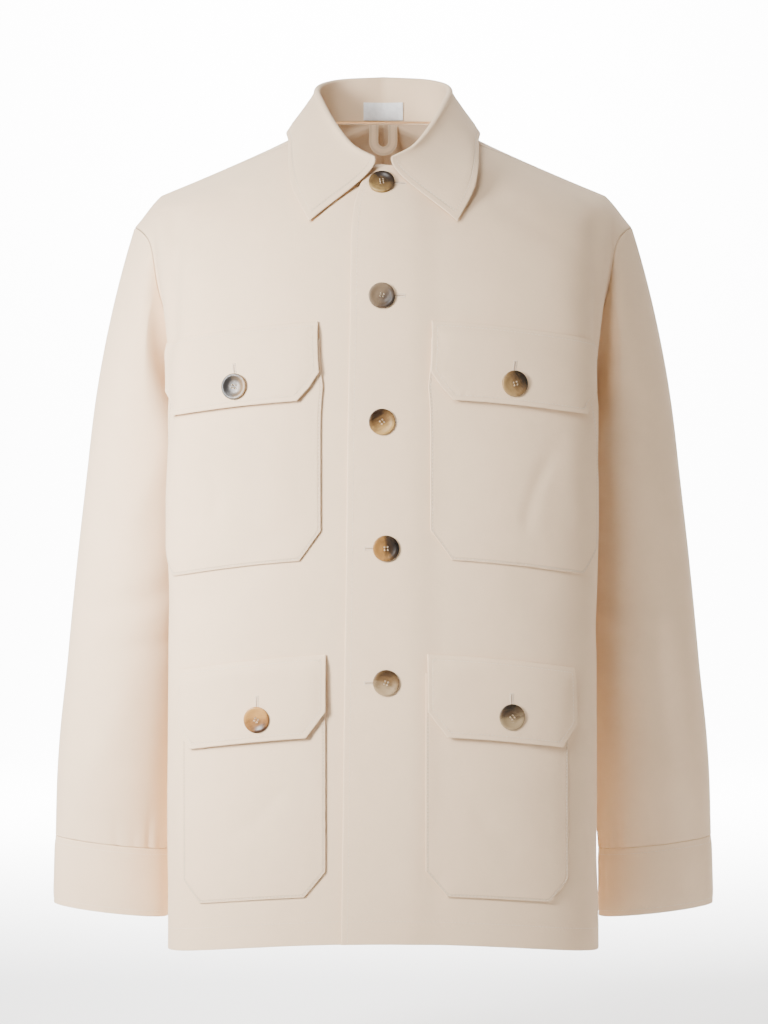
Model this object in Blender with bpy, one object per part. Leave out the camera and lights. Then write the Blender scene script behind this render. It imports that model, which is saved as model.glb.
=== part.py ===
"""Safari jacket, filled out as if worn, with its front towards -Y and the wearer's left at +X.

The origin is the middle of the neck opening at shoulder height. Sizes are in metres. The cloth
panels are walls of one thickness. Each is a grid of rows, from the hem up to the shoulder seam,
and every row runs from the centre line round to the side.
"""
import math

import bpy
import numpy as np

for old_object in list(bpy.data.objects):
    bpy.data.objects.remove(old_object, do_unlink=True)

# Cloth and seams
WALL = 0.0015
SEAM_GAP = 0.0003
TRIM_THICKNESS = 0.0010

# Neckline, an oval seen from above: half width, middle, and its reach to the front and back
NECK_HALF_WIDTH = 0.068
NECK_MIDDLE_Y = -0.012
NECK_FRONT_REACH = 0.090
NECK_BACK_REACH = 0.060
SHOULDER_SEAM_ANGLE = 78.0
NECK_COLUMNS = ("angle", "z")
NECK_HEIGHTS = (
    (0, -0.0420),
    (40, -0.0290),
    (78, -0.0060),
    (100, 0.0050),
    (140, 0.0130),
    (180, 0.0150),
)

# Panels: rise is the length of cloth above the hem, measured up the centre line
UNDERARM_RISE = 0.490
TOP_RISE = 0.780
BODY_STEPS = 14
SHOULDER_STEPS = 12
NECK_RISE_FRONT = UNDERARM_RISE + (TOP_RISE - UNDERARM_RISE) * 9 / SHOULDER_STEPS
NECK_RISE_BACK = UNDERARM_RISE + (TOP_RISE - UNDERARM_RISE) * 8 / SHOULDER_STEPS
PANEL_COLUMNS = 14
CHEST_COLUMNS = 11
CHEST_REACH = 0.220
CHEST_RISE = 0.560
ROUNDNESS = 2.25

# The edge is where a row turns the corner of the body. Fullness 1 is a round row and 0 a
# straight one, and fall_off is the power by which the row sinks from the centre to the edge.
ROW_COLUMNS = ("rise", "centre_y", "centre_z", "edge_x", "edge_y", "edge_z", "fullness", "fall_off")
FRONT_ROWS = (
    (0.000, -0.136, -0.728, 0.1945, -0.052, -0.742, 1.00, 2.0),
    (0.178, -0.142, -0.550, 0.1935, -0.058, -0.569, 1.00, 2.0),
    (0.328, -0.148, -0.400, 0.1920, -0.068, -0.418, 1.00, 2.0),
    (0.490, -0.152, -0.238, 0.1940, -0.079, -0.254, 1.00, 2.0),
    (0.570, -0.146, -0.160, 0.1970, -0.068, -0.178, 0.95, 1.8),
    (0.645, -0.128, -0.087, 0.2050, -0.056, -0.112, 0.80, 1.5),
    (0.7075, -0.102, -0.042, 0.2060, -0.036, -0.078, 0.50, 1.2),
    (0.780, -0.036, -0.006, 0.2040, 0.000, -0.0575, 0.10, 1.0),
)
BACK_ROWS = (
    (0.000, 0.124, -0.738, 0.1840, 0.074, -0.742, 1.00, 2.0),
    (0.178, 0.126, -0.555, 0.1800, 0.084, -0.562, 1.00, 2.0),
    (0.328, 0.126, -0.400, 0.1760, 0.094, -0.412, 1.00, 2.0),
    (0.490, 0.136, -0.235, 0.1800, 0.100, -0.250, 1.00, 2.0),
    (0.570, 0.132, -0.150, 0.1930, 0.090, -0.176, 0.95, 1.8),
    (0.635, 0.106, -0.062, 0.2040, 0.070, -0.110, 0.75, 1.4),
    (0.6833, 0.048, 0.015, 0.2050, 0.048, -0.078, 0.45, 1.1),
    (0.735, 0.015, 0.008, 0.2045, 0.020, -0.0600, 0.20, 1.0),
    (0.780, -0.036, -0.006, 0.2040, 0.000, -0.0575, 0.10, 1.0),
)
SIDE_COLUMNS = ("rise", "x", "y", "z")
SIDE_SEAM = (
    (0.000, 0.186, 0.012, -0.745),
    (0.178, 0.168, 0.014, -0.566),
    (0.328, 0.152, 0.014, -0.417),
    (0.490, 0.148, 0.014, -0.257),
)
ARMHOLE_COLUMNS = ("x", "y", "z")
ARMHOLE = (
    ("underarm", 0.148, 0.014, -0.257),
    ("front low", 0.184, -0.032, -0.205),
    ("front middle", 0.203, -0.047, -0.150),
    ("front high", 0.212, -0.040, -0.105),
    ("top", 0.2290, 0.002, -0.087),
    ("back high", 0.2140, 0.050, -0.108),
    ("back middle", 0.203, 0.064, -0.150),
    ("back low", 0.184, 0.056, -0.205),
)
ARMHOLE_TOP = 4
ARMHOLE_SPREAD = 0.70

# The way the cloth heads where it passes from a panel into the sleeve
AIM_COLUMNS = ("share", "x", "y", "z")
AIMS = (
    (0.00, 0.00, 0.95, 0.30),
    (0.10, 0.20, 0.75, 0.60),
    (0.20, 0.40, 0.75, 0.50),
    (0.35, 0.50, 0.85, 0.10),
    (0.60, 0.60, 0.60, -0.35),
    (1.00, 0.75, 0.00, -0.66),
)
SLEEVE_HEAD_TOP = (0.30, 0.00, -0.95)
SLEEVE_HEAD_FRONT = (0.35, 0.30, -0.88)
SLEEVE_HEAD_UNDER = (0.85, 0.00, -0.50)
STRAIGHTNESS = 2.0
STRAIGHT_BLEND = 0.060
UNDERARM_FACING = (1.0, 0.5, 0.2)

# Sleeves: z is where the axis is cut, square to its lean
SLEEVE_LEAN = math.radians(6.6)
SLEEVE_COLUMNS = ("z", "outer_x", "half_width", "half_depth", "centre_y")
SLEEVE_ROWS = (
    (-0.720, 0.3068, 0.0535, 0.0340, 0.035),
    (-0.655, 0.3050, 0.0530, 0.0370, 0.034),
    (-0.600, 0.3032, 0.0545, 0.0480, 0.031),
    (-0.500, 0.2947, 0.0560, 0.0570, 0.027),
    (-0.400, 0.2847, 0.0560, 0.0610, 0.023),
    (-0.300, 0.2730, 0.0560, 0.0640, 0.020),
)
SLEEVE_HEAD_Z = -0.300
CUFF_SEAM_Z = -0.655
CUFF_END_Z = -0.718
SLEEVE_HEAD_STEPS = 6
SLEEVE_ARM_STEPS = 8
CUFF_STEPS = 2

# The left front laps over the right one. Lap is its reach past the centre line.
LAP_COLUMNS = ("rise", "lap")
LAP = (
    (0.000, 0.0370),
    (0.300, 0.0330),
    (0.550, 0.0290),
    (0.660, 0.0250),
    (0.7075, 0.0140),
)
UNDER_LAP = 0.022
UNDER_LAP_AT_NECK = 0.001
UNDER_LAP_NARROWS = 0.62
LAP_LIFT = WALL + SEAM_GAP + 0.0005
LAP_BLEND = 0.030
NECK_TUCK = 0.0018
NECK_TUCK_RISE = 0.600
NECK_TUCK_WIDTH = 0.045

# Collar: where it folds over and where its outer edge lies, for the wearer's left half
COLLAR_START_ANGLE = 6.0
COLLAR_COLUMNS = ("angle", "fold_x", "fold_y", "fold_z", "edge_x", "edge_y", "edge_z")
COLLAR_ROWS = (
    (6, 0.0070, -0.1100, -0.0340, 0.0655, -0.1260, -0.0925),
    (30, 0.0270, -0.0960, -0.0215, 0.0800, -0.1080, -0.0640),
    (55, 0.0440, -0.0660, 0.0020, 0.0850, -0.0860, -0.0400),
    (80, 0.0565, -0.0290, 0.0270, 0.0870, -0.0440, -0.0130),
    (105, 0.0610, 0.0020, 0.0420, 0.0890, -0.0040, 0.0010),
    (140, 0.0455, 0.0370, 0.0540, 0.0640, 0.0560, 0.0060),
    (180, 0.0000, 0.0530, 0.0590, 0.0000, 0.0800, 0.0060),
)
COLLAR_FOLD_RADIUS = 0.0030
COLLAR_BASE_LIFT = 0.0014
COLLAR_LAP_RISE = 1.2
COLLAR_SPAN_STEPS = 34

# Neck label and hanger loop
LABEL_WIDTH = 0.0375
LABEL_HEIGHT = 0.0168
LABEL_BASE_Z = 0.0195
LOOP_STRIP_WIDTH = 0.0085
LOOP_LEG_SPACING = 0.0178
LOOP_TOP_Z = 0.0125
LOOP_LEG_LENGTH = 0.0150
LOOP_TOP_Y = 0.0442
LOOP_SLANT = 0.15

# Pockets and flaps: s is the distance from the centre line round the front
PATCH_COLUMNS = ("inner_s", "width", "top_rise", "bottom_rise", "corner_s", "corner_rise")
POCKETS = (
    ("pocket_upper_left", 0.0410, 0.1640, 0.5330, 0.3390, 0.0190, 0.0250),
    ("pocket_upper_right", 0.0545, 0.1640, 0.5330, 0.3390, 0.0190, 0.0250),
    ("pocket_lower_left", 0.0370, 0.1320, 0.2400, 0.0430, 0.0190, 0.0220),
    ("pocket_lower_right", 0.0505, 0.1360, 0.2400, 0.0430, 0.0190, 0.0220),
)
FLAPS = (
    ("flap_upper_left", 0.0415, 0.1650, 0.5490, 0.4780, 0.0200, 0.0245),
    ("flap_upper_right", 0.0560, 0.1630, 0.5490, 0.4780, 0.0200, 0.0245),
    ("flap_lower_left", 0.0385, 0.1380, 0.2560, 0.1840, 0.0170, 0.0220),
    ("flap_lower_right", 0.0500, 0.1420, 0.2560, 0.1840, 0.0170, 0.0220),
)
PATCH_MARGIN = 0.0045
COLUMN_MARGIN = 0.0015
PATCH_GAP = 0.0008
FLAP_LIFT = 0.0030
FLAP_SEAM_SHARE = 0.14

# Buttons, counted from the neck down
BUTTON_RADIUS = 0.0115
BUTTON_THICKNESS = 0.0036
BUTTON_DISH = 0.0012
BUTTON_SIDES = 18
FRONT_BUTTONS = (
    ("button_front_1", -0.0014, 0.6825),
    ("button_front_2", -0.0013, 0.5700),
    ("button_front_3", -0.0011, 0.4575),
    ("button_front_4", 0.0024, 0.3475),
    ("button_front_5", 0.0024, 0.2300),
)
FLAP_BUTTONS = (
    ("button_flap_upper_left", 0.1142, 0.4966),
    ("button_flap_upper_right", 0.1299, 0.4957),
    ("button_flap_lower_left", 0.1123, 0.2060),
    ("button_flap_lower_right", 0.1105, 0.2035),
)

CLOTH_COLOUR = (0.66, 0.58, 0.49)
CLOTH_ROUGHNESS = 0.9
LABEL_COLOUR = (0.85, 0.85, 0.84)
LABEL_ROUGHNESS = 0.6
BUTTON_ROUGHNESS = 0.25
BUTTON_COLOURS = {
    "button_front_1": (0.45, 0.30, 0.13),
    "button_front_2": (0.27, 0.20, 0.14),
    "button_front_3": (0.46, 0.29, 0.12),
    "button_front_4": (0.10, 0.07, 0.05),
    "button_front_5": (0.55, 0.42, 0.26),
    "button_flap_upper_left": (0.30, 0.22, 0.15),
    "button_flap_upper_right": (0.35, 0.25, 0.13),
    "button_flap_lower_left": (0.20, 0.14, 0.10),
    "button_flap_lower_right": (0.50, 0.30, 0.12),
}


def table(columns, rows):
    """The rows of a table as one array for each named column; a leading name is left off."""
    data = np.array([row[-len(columns):] for row in rows], dtype=float)
    return {name: data[:, i] for i, name in enumerate(columns)}


def smooth(knots, values, at):
    """A smooth curve through the values, read at the places asked for."""
    knots = np.asarray(knots, dtype=float)
    values = np.asarray(values, dtype=float)
    slopes = np.gradient(values, knots, axis=0)
    at = np.clip(np.asarray(at, dtype=float), knots[0], knots[-1])
    i = np.clip(np.searchsorted(knots, at, side="right") - 1, 0, len(knots) - 2)
    span = knots[i + 1] - knots[i]
    t = (at - knots[i]) / span
    if values.ndim == 2:
        span = np.asarray(span)[..., None]
        t = np.asarray(t)[..., None]
    start = values[i] * (2 * t**3 - 3 * t**2 + 1) + slopes[i] * span * (t**3 - 2 * t**2 + t)
    end = values[i + 1] * (3 * t**2 - 2 * t**3) + slopes[i + 1] * span * (t**3 - t**2)
    return start + end


def hermite(start, leave, end, arrive, t):
    """Points of the curve that leaves start along one vector and reaches end along another."""
    t = np.asarray(t)[:, None]
    return (start * (2 * t**3 - 3 * t**2 + 1) + leave * (t**3 - 2 * t**2 + t)
            + end * (3 * t**2 - 2 * t**3) + arrive * (t**3 - t**2))


def soft_step(value):
    """0 below 0, 1 above 1, and an even rise between."""
    value = np.clip(value, 0.0, 1.0)
    return value * value * (3 - 2 * value)


def unit(vectors):
    """The vectors at length 1."""
    vectors = np.asarray(vectors, dtype=float)
    return vectors / np.linalg.norm(vectors, axis=-1, keepdims=True)


def run_lengths(line):
    """The distance along a line of points at each of them."""
    return np.concatenate([[0.0], np.cumsum(np.linalg.norm(np.diff(line, axis=0), axis=1))])


def points_at(line, run, distances):
    """The points of a line at the distances given."""
    return np.stack([np.interp(distances, run, line[:, k]) for k in range(3)], axis=1)


FRONT = table(ROW_COLUMNS, FRONT_ROWS)
BACK = table(ROW_COLUMNS, BACK_ROWS)
SIDE = table(SIDE_COLUMNS, SIDE_SEAM)
SLEEVE = table(SLEEVE_COLUMNS, SLEEVE_ROWS)
COLLAR = table(COLLAR_COLUMNS, COLLAR_ROWS)
NECK = table(NECK_COLUMNS, NECK_HEIGHTS)
LAPS = table(LAP_COLUMNS, LAP)
AIM = table(AIM_COLUMNS, AIMS)
ARM = table(ARMHOLE_COLUMNS, ARMHOLE)


def armhole_points(fractions):
    """Points of the armhole: 0 is the underarm and 0.5 the shoulder top, by way of the front."""
    corners = np.stack([ARM[axis] for axis in ARMHOLE_COLUMNS], axis=1)
    ring = np.vstack([corners[-2:], corners, corners[:3]])
    knots = run_lengths(ring)
    start = knots[2]
    top = knots[2 + ARMHOLE_TOP] - start
    whole = knots[2 + len(corners)] - start
    f = np.asarray(fractions, dtype=float) % 1.0
    climb = (2 * np.minimum(f, 1.0 - f)) ** ARMHOLE_SPREAD
    along = np.where(f <= 0.5, climb * top, whole - climb * (whole - top))
    return smooth(knots, ring, start + along)


def neckline(angle):
    """A point of the neckline: 0 is the centre front, 90 the side and 180 the centre back."""
    turn = math.radians(angle)
    reach = NECK_FRONT_REACH if angle <= 90 else NECK_BACK_REACH
    z = float(smooth(NECK["angle"], NECK["z"], angle))
    return np.array([NECK_HALF_WIDTH * math.sin(turn), NECK_MIDDLE_Y - reach * math.cos(turn), z])


def row_curve(rows, rise, samples=60):
    """One row of a half panel, from the centre line to the side seam or the armhole."""
    is_front = rows is FRONT
    facing = 1.0 if is_front else -1.0
    value = {name: float(smooth(rows["rise"], column, rise)) for name, column in rows.items()}
    neck_rise = NECK_RISE_FRONT if is_front else NECK_RISE_BACK
    centre = np.array([0.0, value["centre_y"], value["centre_z"]])
    if rise > neck_rise:
        share = (rise - neck_rise) / (TOP_RISE - neck_rise)
        start = 0.0 if is_front else 180.0
        centre = neckline(start + (SHOULDER_SEAM_ANGLE - start) * share)
    edge = np.array([value["edge_x"], value["edge_y"], value["edge_z"]])
    aim = np.array([0.0, facing, 0.0])
    if rise <= UNDERARM_RISE:
        side = np.array([float(smooth(SIDE["rise"], SIDE[axis], rise)) for axis in "xyz"])
    else:
        share = (rise - UNDERARM_RISE) / (TOP_RISE - UNDERARM_RISE)
        side = armhole_points(0.5 * share if is_front else 1.0 - 0.5 * share)
        aim = np.array([float(smooth(AIM["share"], AIM[axis], share)) for axis in "xyz"])
        aim = aim * (1.0, facing, 1.0)
    t = np.linspace(0.0, 1.0, samples)
    full = value["fullness"]
    across = full * np.sin(t * math.pi / 2) ** (2 / ROUNDNESS) + (1 - full) * t
    depth = full * np.maximum(np.cos(t * math.pi / 2), 0.0) ** (2 / ROUNDNESS) + (1 - full) * (1 - t)
    depth[-1] = 0.0
    quarter = np.stack([
        centre[0] + (edge[0] - centre[0]) * across,
        edge[1] + (centre[1] - edge[1]) * depth,
        centre[2] + (edge[2] - centre[2]) * across ** value["fall_off"],
    ], axis=1)
    reach = np.linalg.norm(side - edge)
    straight = unit(side - edge) * STRAIGHTNESS * soft_step((rise - UNDERARM_RISE) / STRAIGHT_BLEND)
    leave = unit(unit(quarter[-1] - quarter[-3]) + straight)
    arrive = unit(unit(aim) + straight)
    turn = hermite(edge, leave * reach, side, arrive * reach, np.linspace(0.0, 1.0, samples // 2)[1:])
    return np.vstack([quarter, turn])


def front_row(rise, lap):
    """A front row with its reach past the centre line, and the distance from that line."""
    line = row_curve(FRONT, rise)
    run = run_lengths(line)
    if lap > 0.0:
        past = points_at(line, run, np.linspace(lap, 0.0, 8)[:-1]) * (-1.0, 1.0, 1.0)
        line = np.vstack([past, line])
        run = run_lengths(line) - lap
    return line, run


def lap_at(rise):
    """How far the upper front reaches past the centre line."""
    return float(smooth(LAPS["rise"], LAPS["lap"], rise)) if rise <= NECK_RISE_FRONT + 1e-9 else 0.0


def under_lap_at(rise):
    """How far the lower front reaches past the centre line."""
    if rise > NECK_RISE_FRONT + 1e-9:
        return 0.0
    near_neck = soft_step((rise - UNDER_LAP_NARROWS) / (NECK_RISE_FRONT - UNDER_LAP_NARROWS))
    return UNDER_LAP + (UNDER_LAP_AT_NECK - UNDER_LAP) * near_neck


def lap_lift(x):
    """How far the upper front stands off the lower one, by how far left of the centre it is."""
    return LAP_LIFT * (1.0 - soft_step((np.asarray(x) - UNDER_LAP) / LAP_BLEND))


def grid_normals(grid, closed=False):
    """Unit normals of a grid of points, by the cross product of its two directions."""
    if closed:
        along = np.roll(grid, -1, axis=1) - np.roll(grid, 1, axis=1)
    else:
        along = np.gradient(grid, axis=1)
    up = np.gradient(grid, axis=0)
    return unit(np.cross(along, up))


def panel_rises():
    """The rises of the rows of every panel: even steps below the underarm, and above it."""
    below = np.linspace(0.0, UNDERARM_RISE, BODY_STEPS + 1)
    above = np.linspace(UNDERARM_RISE, TOP_RISE, SHOULDER_STEPS + 1)
    return np.concatenate([below, above[1:]])


def front_points(is_upper, rise):
    """The points of one row of a front's grid, and their distances from the centre line."""
    line, run = front_row(rise, lap_at(rise) if is_upper else under_lap_at(rise))
    start, end = run[0], run[-1] - SEAM_GAP / 2
    chest = np.linspace(0.0, CHEST_REACH, CHEST_COLUMNS + 1)
    rest = np.linspace(CHEST_REACH, end, PANEL_COLUMNS - CHEST_COLUMNS)[1:]
    even = np.linspace(start, end, PANEL_COLUMNS + 1)
    share = soft_step((rise - CHEST_RISE) / (NECK_RISE_FRONT - CHEST_RISE))
    at = np.concatenate([[start], chest, rest]) * (1 - share) + even * share
    return points_at(line, run, at), at


def front_grid(is_upper):
    """The outer face of the left front, or of the right one turned over to the left."""
    return np.array([front_points(is_upper, rise)[0] for rise in panel_rises()])


def back_grid():
    """The outer face of the left half of the back."""
    grid = []
    for rise in panel_rises():
        line = row_curve(BACK, rise)
        run = run_lengths(line)
        at = (run[-1] - SEAM_GAP / 2) * np.linspace(0.0, 1.0, PANEL_COLUMNS + 1)
        grid.append(points_at(line, run, at))
    return np.array(grid)


def pull_top_row_back(grid):
    """Leaves half a seam gap below the shoulder seam."""
    step = grid[-2] - grid[-1]
    grid[-1] += unit(step) * SEAM_GAP / 2


def sleeve_ring(z, fractions):
    """One round of a sleeve, starting at the underarm and going by way of the front."""
    value = {name: float(smooth(SLEEVE["z"], column, z)) for name, column in SLEEVE.items()}
    lean = np.array([math.cos(SLEEVE_LEAN), 0.0, math.sin(SLEEVE_LEAN)])
    middle = np.array([value["outer_x"] - value["half_width"] * lean[0], value["centre_y"], z])
    angle = (math.pi + 2 * math.pi * np.asarray(fractions))[:, None]
    return (middle + value["half_width"] * np.cos(angle) * lean
            + value["half_depth"] * np.sin(angle) * np.array([0.0, 1.0, 0.0]))


def sleeve_head_aims(fractions):
    """The way each thread of the sleeve leaves the armhole."""
    turn = 2 * math.pi * np.asarray(fractions)
    top = np.maximum(-np.cos(turn), 0.0)[:, None]
    under = np.maximum(np.cos(turn), 0.0)[:, None]
    middle = np.clip(1.0 - top - under, 0.0, 1.0)
    facing = np.stack([np.ones_like(turn), -np.sign(np.sin(turn)), np.ones_like(turn)], axis=1)
    aims = (np.array(SLEEVE_HEAD_TOP) * top + np.array(SLEEVE_HEAD_UNDER) * under
            + np.array(SLEEVE_HEAD_FRONT) * facing * middle)
    return unit(aims)


def sleeve_grid():
    """The outer face of the left sleeve, in rounds from the armhole to the cuff seam."""
    count = 2 * SHOULDER_STEPS
    fractions = np.arange(count) / count
    start = armhole_points(fractions)
    aims = sleeve_head_aims(fractions)
    start = start + aims * SEAM_GAP
    end = sleeve_ring(SLEEVE_HEAD_Z, fractions)
    reach = np.linalg.norm(end - start, axis=1, keepdims=True)
    down = np.array([math.sin(SLEEVE_LEAN), 0.0, -math.cos(SLEEVE_LEAN)])
    rounds = []
    for t in np.linspace(0.0, 1.0, SLEEVE_HEAD_STEPS + 1):
        curve = (start * (2 * t**3 - 3 * t**2 + 1) + aims * reach * (t**3 - 2 * t**2 + t)
                 + end * (3 * t**2 - 2 * t**3) + down * reach * (t**3 - t**2))
        rounds.append(curve)
    last = CUFF_SEAM_Z + SEAM_GAP
    for z in np.linspace(SLEEVE_HEAD_Z, last, SLEEVE_ARM_STEPS + 1)[1:]:
        rounds.append(sleeve_ring(z, fractions))
    return np.array(rounds)


def cuff_grid():
    """The outer face of the left cuff, in rounds from its seam down."""
    count = 2 * SHOULDER_STEPS
    fractions = np.arange(count) / count
    heights = np.linspace(CUFF_SEAM_Z, CUFF_END_Z, CUFF_STEPS + 1)
    return np.array([sleeve_ring(z, fractions) for z in heights])


def collar_section(angle, lap_rise=0.0):
    """The collar from its seam, up inside, over the fold and down to the outer edge."""
    value = {name: float(smooth(COLLAR["angle"], column, angle)) for name, column in COLLAR.items()}
    seam = neckline(angle)
    seam[2] += COLLAR_BASE_LIFT
    if angle < 90:
        seam[2] += lap_rise * float(lap_lift(seam[0]))
    fold = np.array([value["fold_x"], value["fold_y"], value["fold_z"]])
    edge = np.array([value["edge_x"], value["edge_y"], value["edge_z"]])
    turn = math.radians(angle)
    outward = unit([NECK_FRONT_REACH * math.sin(turn), -NECK_HALF_WIDTH * math.cos(turn), 0.0])
    centre = fold - np.array([0.0, 0.0, COLLAR_FOLD_RADIUS])
    inner = centre - outward * COLLAR_FOLD_RADIUS
    rise = inner - seam
    stand = [seam + rise * share for share in (0.0, 0.34, 0.67)]
    over = [centre + COLLAR_FOLD_RADIUS * (-outward * math.cos(a) + np.array([0.0, 0.0, math.sin(a)]))
            for a in np.linspace(0.0, math.pi, 5)]
    outer = over[-1]
    reach = np.linalg.norm(edge - outer)
    leave = unit(outward * 0.15 + np.array([0.0, 0.0, -1.0])) * reach * 0.5
    arrive = unit(edge - outer) * reach
    fall = hermite(outer, leave, edge, arrive, np.linspace(0.0, 1.0, 6)[1:])
    return np.vstack([stand, over, fall])


def collar_grid():
    """The upper face of the whole collar, from one front end round the neck to the other."""
    half = np.linspace(COLLAR_START_ANGLE, 180.0, COLLAR_SPAN_STEPS // 2 + 1)
    left = np.array([collar_section(angle, COLLAR_LAP_RISE) for angle in half])
    right = np.array([collar_section(angle) for angle in half[-2::-1]]) * (-1.0, 1.0, 1.0)
    return np.concatenate([left, right])


def plain_finish(name, colour=CLOTH_COLOUR, roughness=CLOTH_ROUGHNESS):
    """A plain finish for one piece."""
    material = bpy.data.materials.new(name)
    material.use_nodes = True
    shader = material.node_tree.nodes["Principled BSDF"]
    shader.inputs["Base Color"].default_value = (*colour, 1.0)
    shader.inputs["Roughness"].default_value = roughness
    shader.inputs["Metallic"].default_value = 0.0
    return material


def turned(face):
    """The face seen from its other side, still starting at its first corner."""
    return [face[0], *face[:0:-1]]


def add_object(name, points, faces, material):
    """One named closed solid, with its faces turned outwards."""
    points = np.asarray(points, dtype=float)
    volume = 0.0
    for face in faces:
        for k in range(1, len(face) - 1):
            a, b, c = points[face[0]], points[face[k]], points[face[k + 1]]
            volume += float(np.dot(a, np.cross(b, c)))
    if volume < 0.0:
        faces = [turned(face) for face in faces]
    mesh = bpy.data.meshes.new(name)
    mesh.from_pydata(points.tolist(), [], [list(face) for face in faces])
    mesh.validate()
    mesh.materials.append(material)
    mesh.shade_smooth()
    mesh.set_sharp_from_angle(angle=math.radians(50.0))
    piece = bpy.data.objects.new(name, mesh)
    bpy.context.scene.collection.objects.link(piece)
    return piece


def add_wall(name, outer, inner, material, closed=False):
    """A wall of cloth between two grids; a closed one joins its last column to its first."""
    rows, columns = outer.shape[:2]
    points = np.concatenate([outer.reshape(-1, 3), inner.reshape(-1, 3)])
    half = rows * columns

    def at(row, column, side):
        return side * half + row * columns + column % columns

    faces = []
    last = columns if closed else columns - 1
    for row in range(rows - 1):
        for column in range(last):
            corners = ((row, column), (row, column + 1), (row + 1, column + 1), (row + 1, column))
            faces.append([at(r, c, 0) for r, c in corners])
            faces.append(turned([at(r, c, 1) for r, c in corners]))
    for column in range(last):
        faces.append([at(0, column + 1, 0), at(0, column, 0), at(0, column, 1), at(0, column + 1, 1)])
        end = rows - 1
        faces.append([at(end, column, 0), at(end, column + 1, 0), at(end, column + 1, 1), at(end, column, 1)])
    if not closed:
        for row in range(rows - 1):
            faces.append([at(row, 0, 0), at(row + 1, 0, 0), at(row + 1, 0, 1), at(row, 0, 1)])
            end = columns - 1
            faces.append([at(row + 1, end, 0), at(row, end, 0), at(row, end, 1), at(row + 1, end, 1)])
    return add_object(name, points, faces, material)


def mirrored(grid):
    """The same grid on the wearer's other side."""
    return grid * (-1.0, 1.0, 1.0)


def seam_normals(panel, sleeve, fingers):
    """The middle direction of two pieces along the armhole, turned down near the underarm."""
    middle = unit(panel[-len(fingers):, -1] + sleeve[0, fingers])
    for k, share in enumerate(UNDERARM_FACING):
        middle[k] = unit(middle[k] * (1.0 - share) + np.array([0.0, 0.0, -share]))
    return middle


def match_normals(upper, lower, back, sleeve):
    """Gives pieces that meet at a seam the same direction there, so that their walls match."""
    steps = SHOULDER_STEPS
    by_front = np.arange(steps + 1)
    by_back = -by_front
    seam = seam_normals(upper, sleeve, by_front)
    rear = seam_normals(back, sleeve, by_back)
    seam[-1] = rear[-1] = unit(seam[-1] + rear[-1])
    top = unit(upper[-1] + back[-1])
    side = unit(upper[:-steps, -1] + back[:-steps, -1])
    for panel, edge in ((upper, seam), (lower, seam), (back, rear)):
        panel[-1] = top
        panel[:-steps, -1] = side
        panel[-1 - steps:, -1] = edge
    sleeve[0, by_front] = seam
    sleeve[0, by_back] = rear


def back_piece(outer, inner):
    """The back in one wall, with its two shoulder parts left open between them at the neck."""
    rows, columns = outer.shape[:2]
    size = rows * columns
    neck_share = (NECK_RISE_BACK - UNDERARM_RISE) / (TOP_RISE - UNDERARM_RISE)
    neck_row = BODY_STEPS + round(neck_share * SHOULDER_STEPS)
    left = np.arange(size).reshape(rows, columns)
    right = left + size
    right[:neck_row + 1, 0] = left[:neck_row + 1, 0]
    sides = [outer, mirrored(outer), inner, mirrored(inner)]
    points = np.concatenate([side.reshape(-1, 3) for side in sides])
    faces = []
    for part in (left, right):
        quads = np.stack([part[:-1, :-1], part[:-1, 1:], part[1:, 1:], part[1:, :-1]], axis=-1)
        half = []
        for quad in quads.reshape(-1, 4):
            half.append(quad.tolist())
            half.append(turned((quad + 2 * size).tolist()))
        rim = np.concatenate([part[0], part[1:, -1], part[-1, -2::-1], part[neck_row:-1, 0][::-1]])
        for a, b in zip(rim[:-1], rim[1:]):
            half.append([b, a, a + 2 * size, b + 2 * size])
        faces += half if part is left else [turned(face) for face in half]
    used, places = np.unique(np.array(faces), return_inverse=True)
    faces = places.reshape(-1, 4).tolist()
    add_object("back", points[used], faces, plain_finish("back"))


def body_pieces():
    """Both fronts, the back and both sleeves. It gives back the outer faces of the fronts."""
    upper = front_grid(True)
    lower = front_grid(False)
    back = back_grid()
    sleeve = sleeve_grid()
    upper_n = grid_normals(upper)
    lower_n = grid_normals(lower)
    back_n = -grid_normals(back)
    sleeve_n = grid_normals(sleeve, closed=True)
    sleeve_n *= np.sign(-sleeve_n[-1, 0, 0])
    match_normals(upper_n, lower_n, back_n, sleeve_n)
    for grid in (upper, lower, back):
        pull_top_row_back(grid)
    upper = upper + upper_n * lap_lift(upper[..., 0])[..., None]
    near_neck = soft_step((panel_rises() - NECK_TUCK_RISE) / (NECK_RISE_FRONT - NECK_TUCK_RISE))
    near_centre = 1.0 - soft_step(lower[..., 0] / NECK_TUCK_WIDTH)
    lower = lower - lower_n * (NECK_TUCK * near_neck[:, None] * near_centre)[..., None]
    add_wall("front_left", upper, upper - upper_n * WALL, plain_finish("front_left"))
    under = lower - lower_n * WALL
    add_wall("front_right", mirrored(lower), mirrored(under), plain_finish("front_right"))
    back_piece(back, back - back_n * WALL)
    inside = sleeve - sleeve_n * WALL
    add_wall("sleeve_left", sleeve, inside, plain_finish("sleeve_left"), True)
    add_wall("sleeve_right", mirrored(sleeve), mirrored(inside),
             plain_finish("sleeve_right"), True)
    return upper, lower


def cuff_pieces():
    """Both cuffs, closed bands below the sleeves."""
    cuff = cuff_grid()
    normals = grid_normals(cuff, closed=True)
    normals *= np.sign(np.sum(normals[-1, 0] * (-1.0, 0.0, 0.0)))
    inside = cuff - normals * WALL
    add_wall("cuff_left", cuff, inside, plain_finish("cuff_left"), True)
    add_wall("cuff_right", mirrored(cuff), mirrored(inside), plain_finish("cuff_right"), True)


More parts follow.
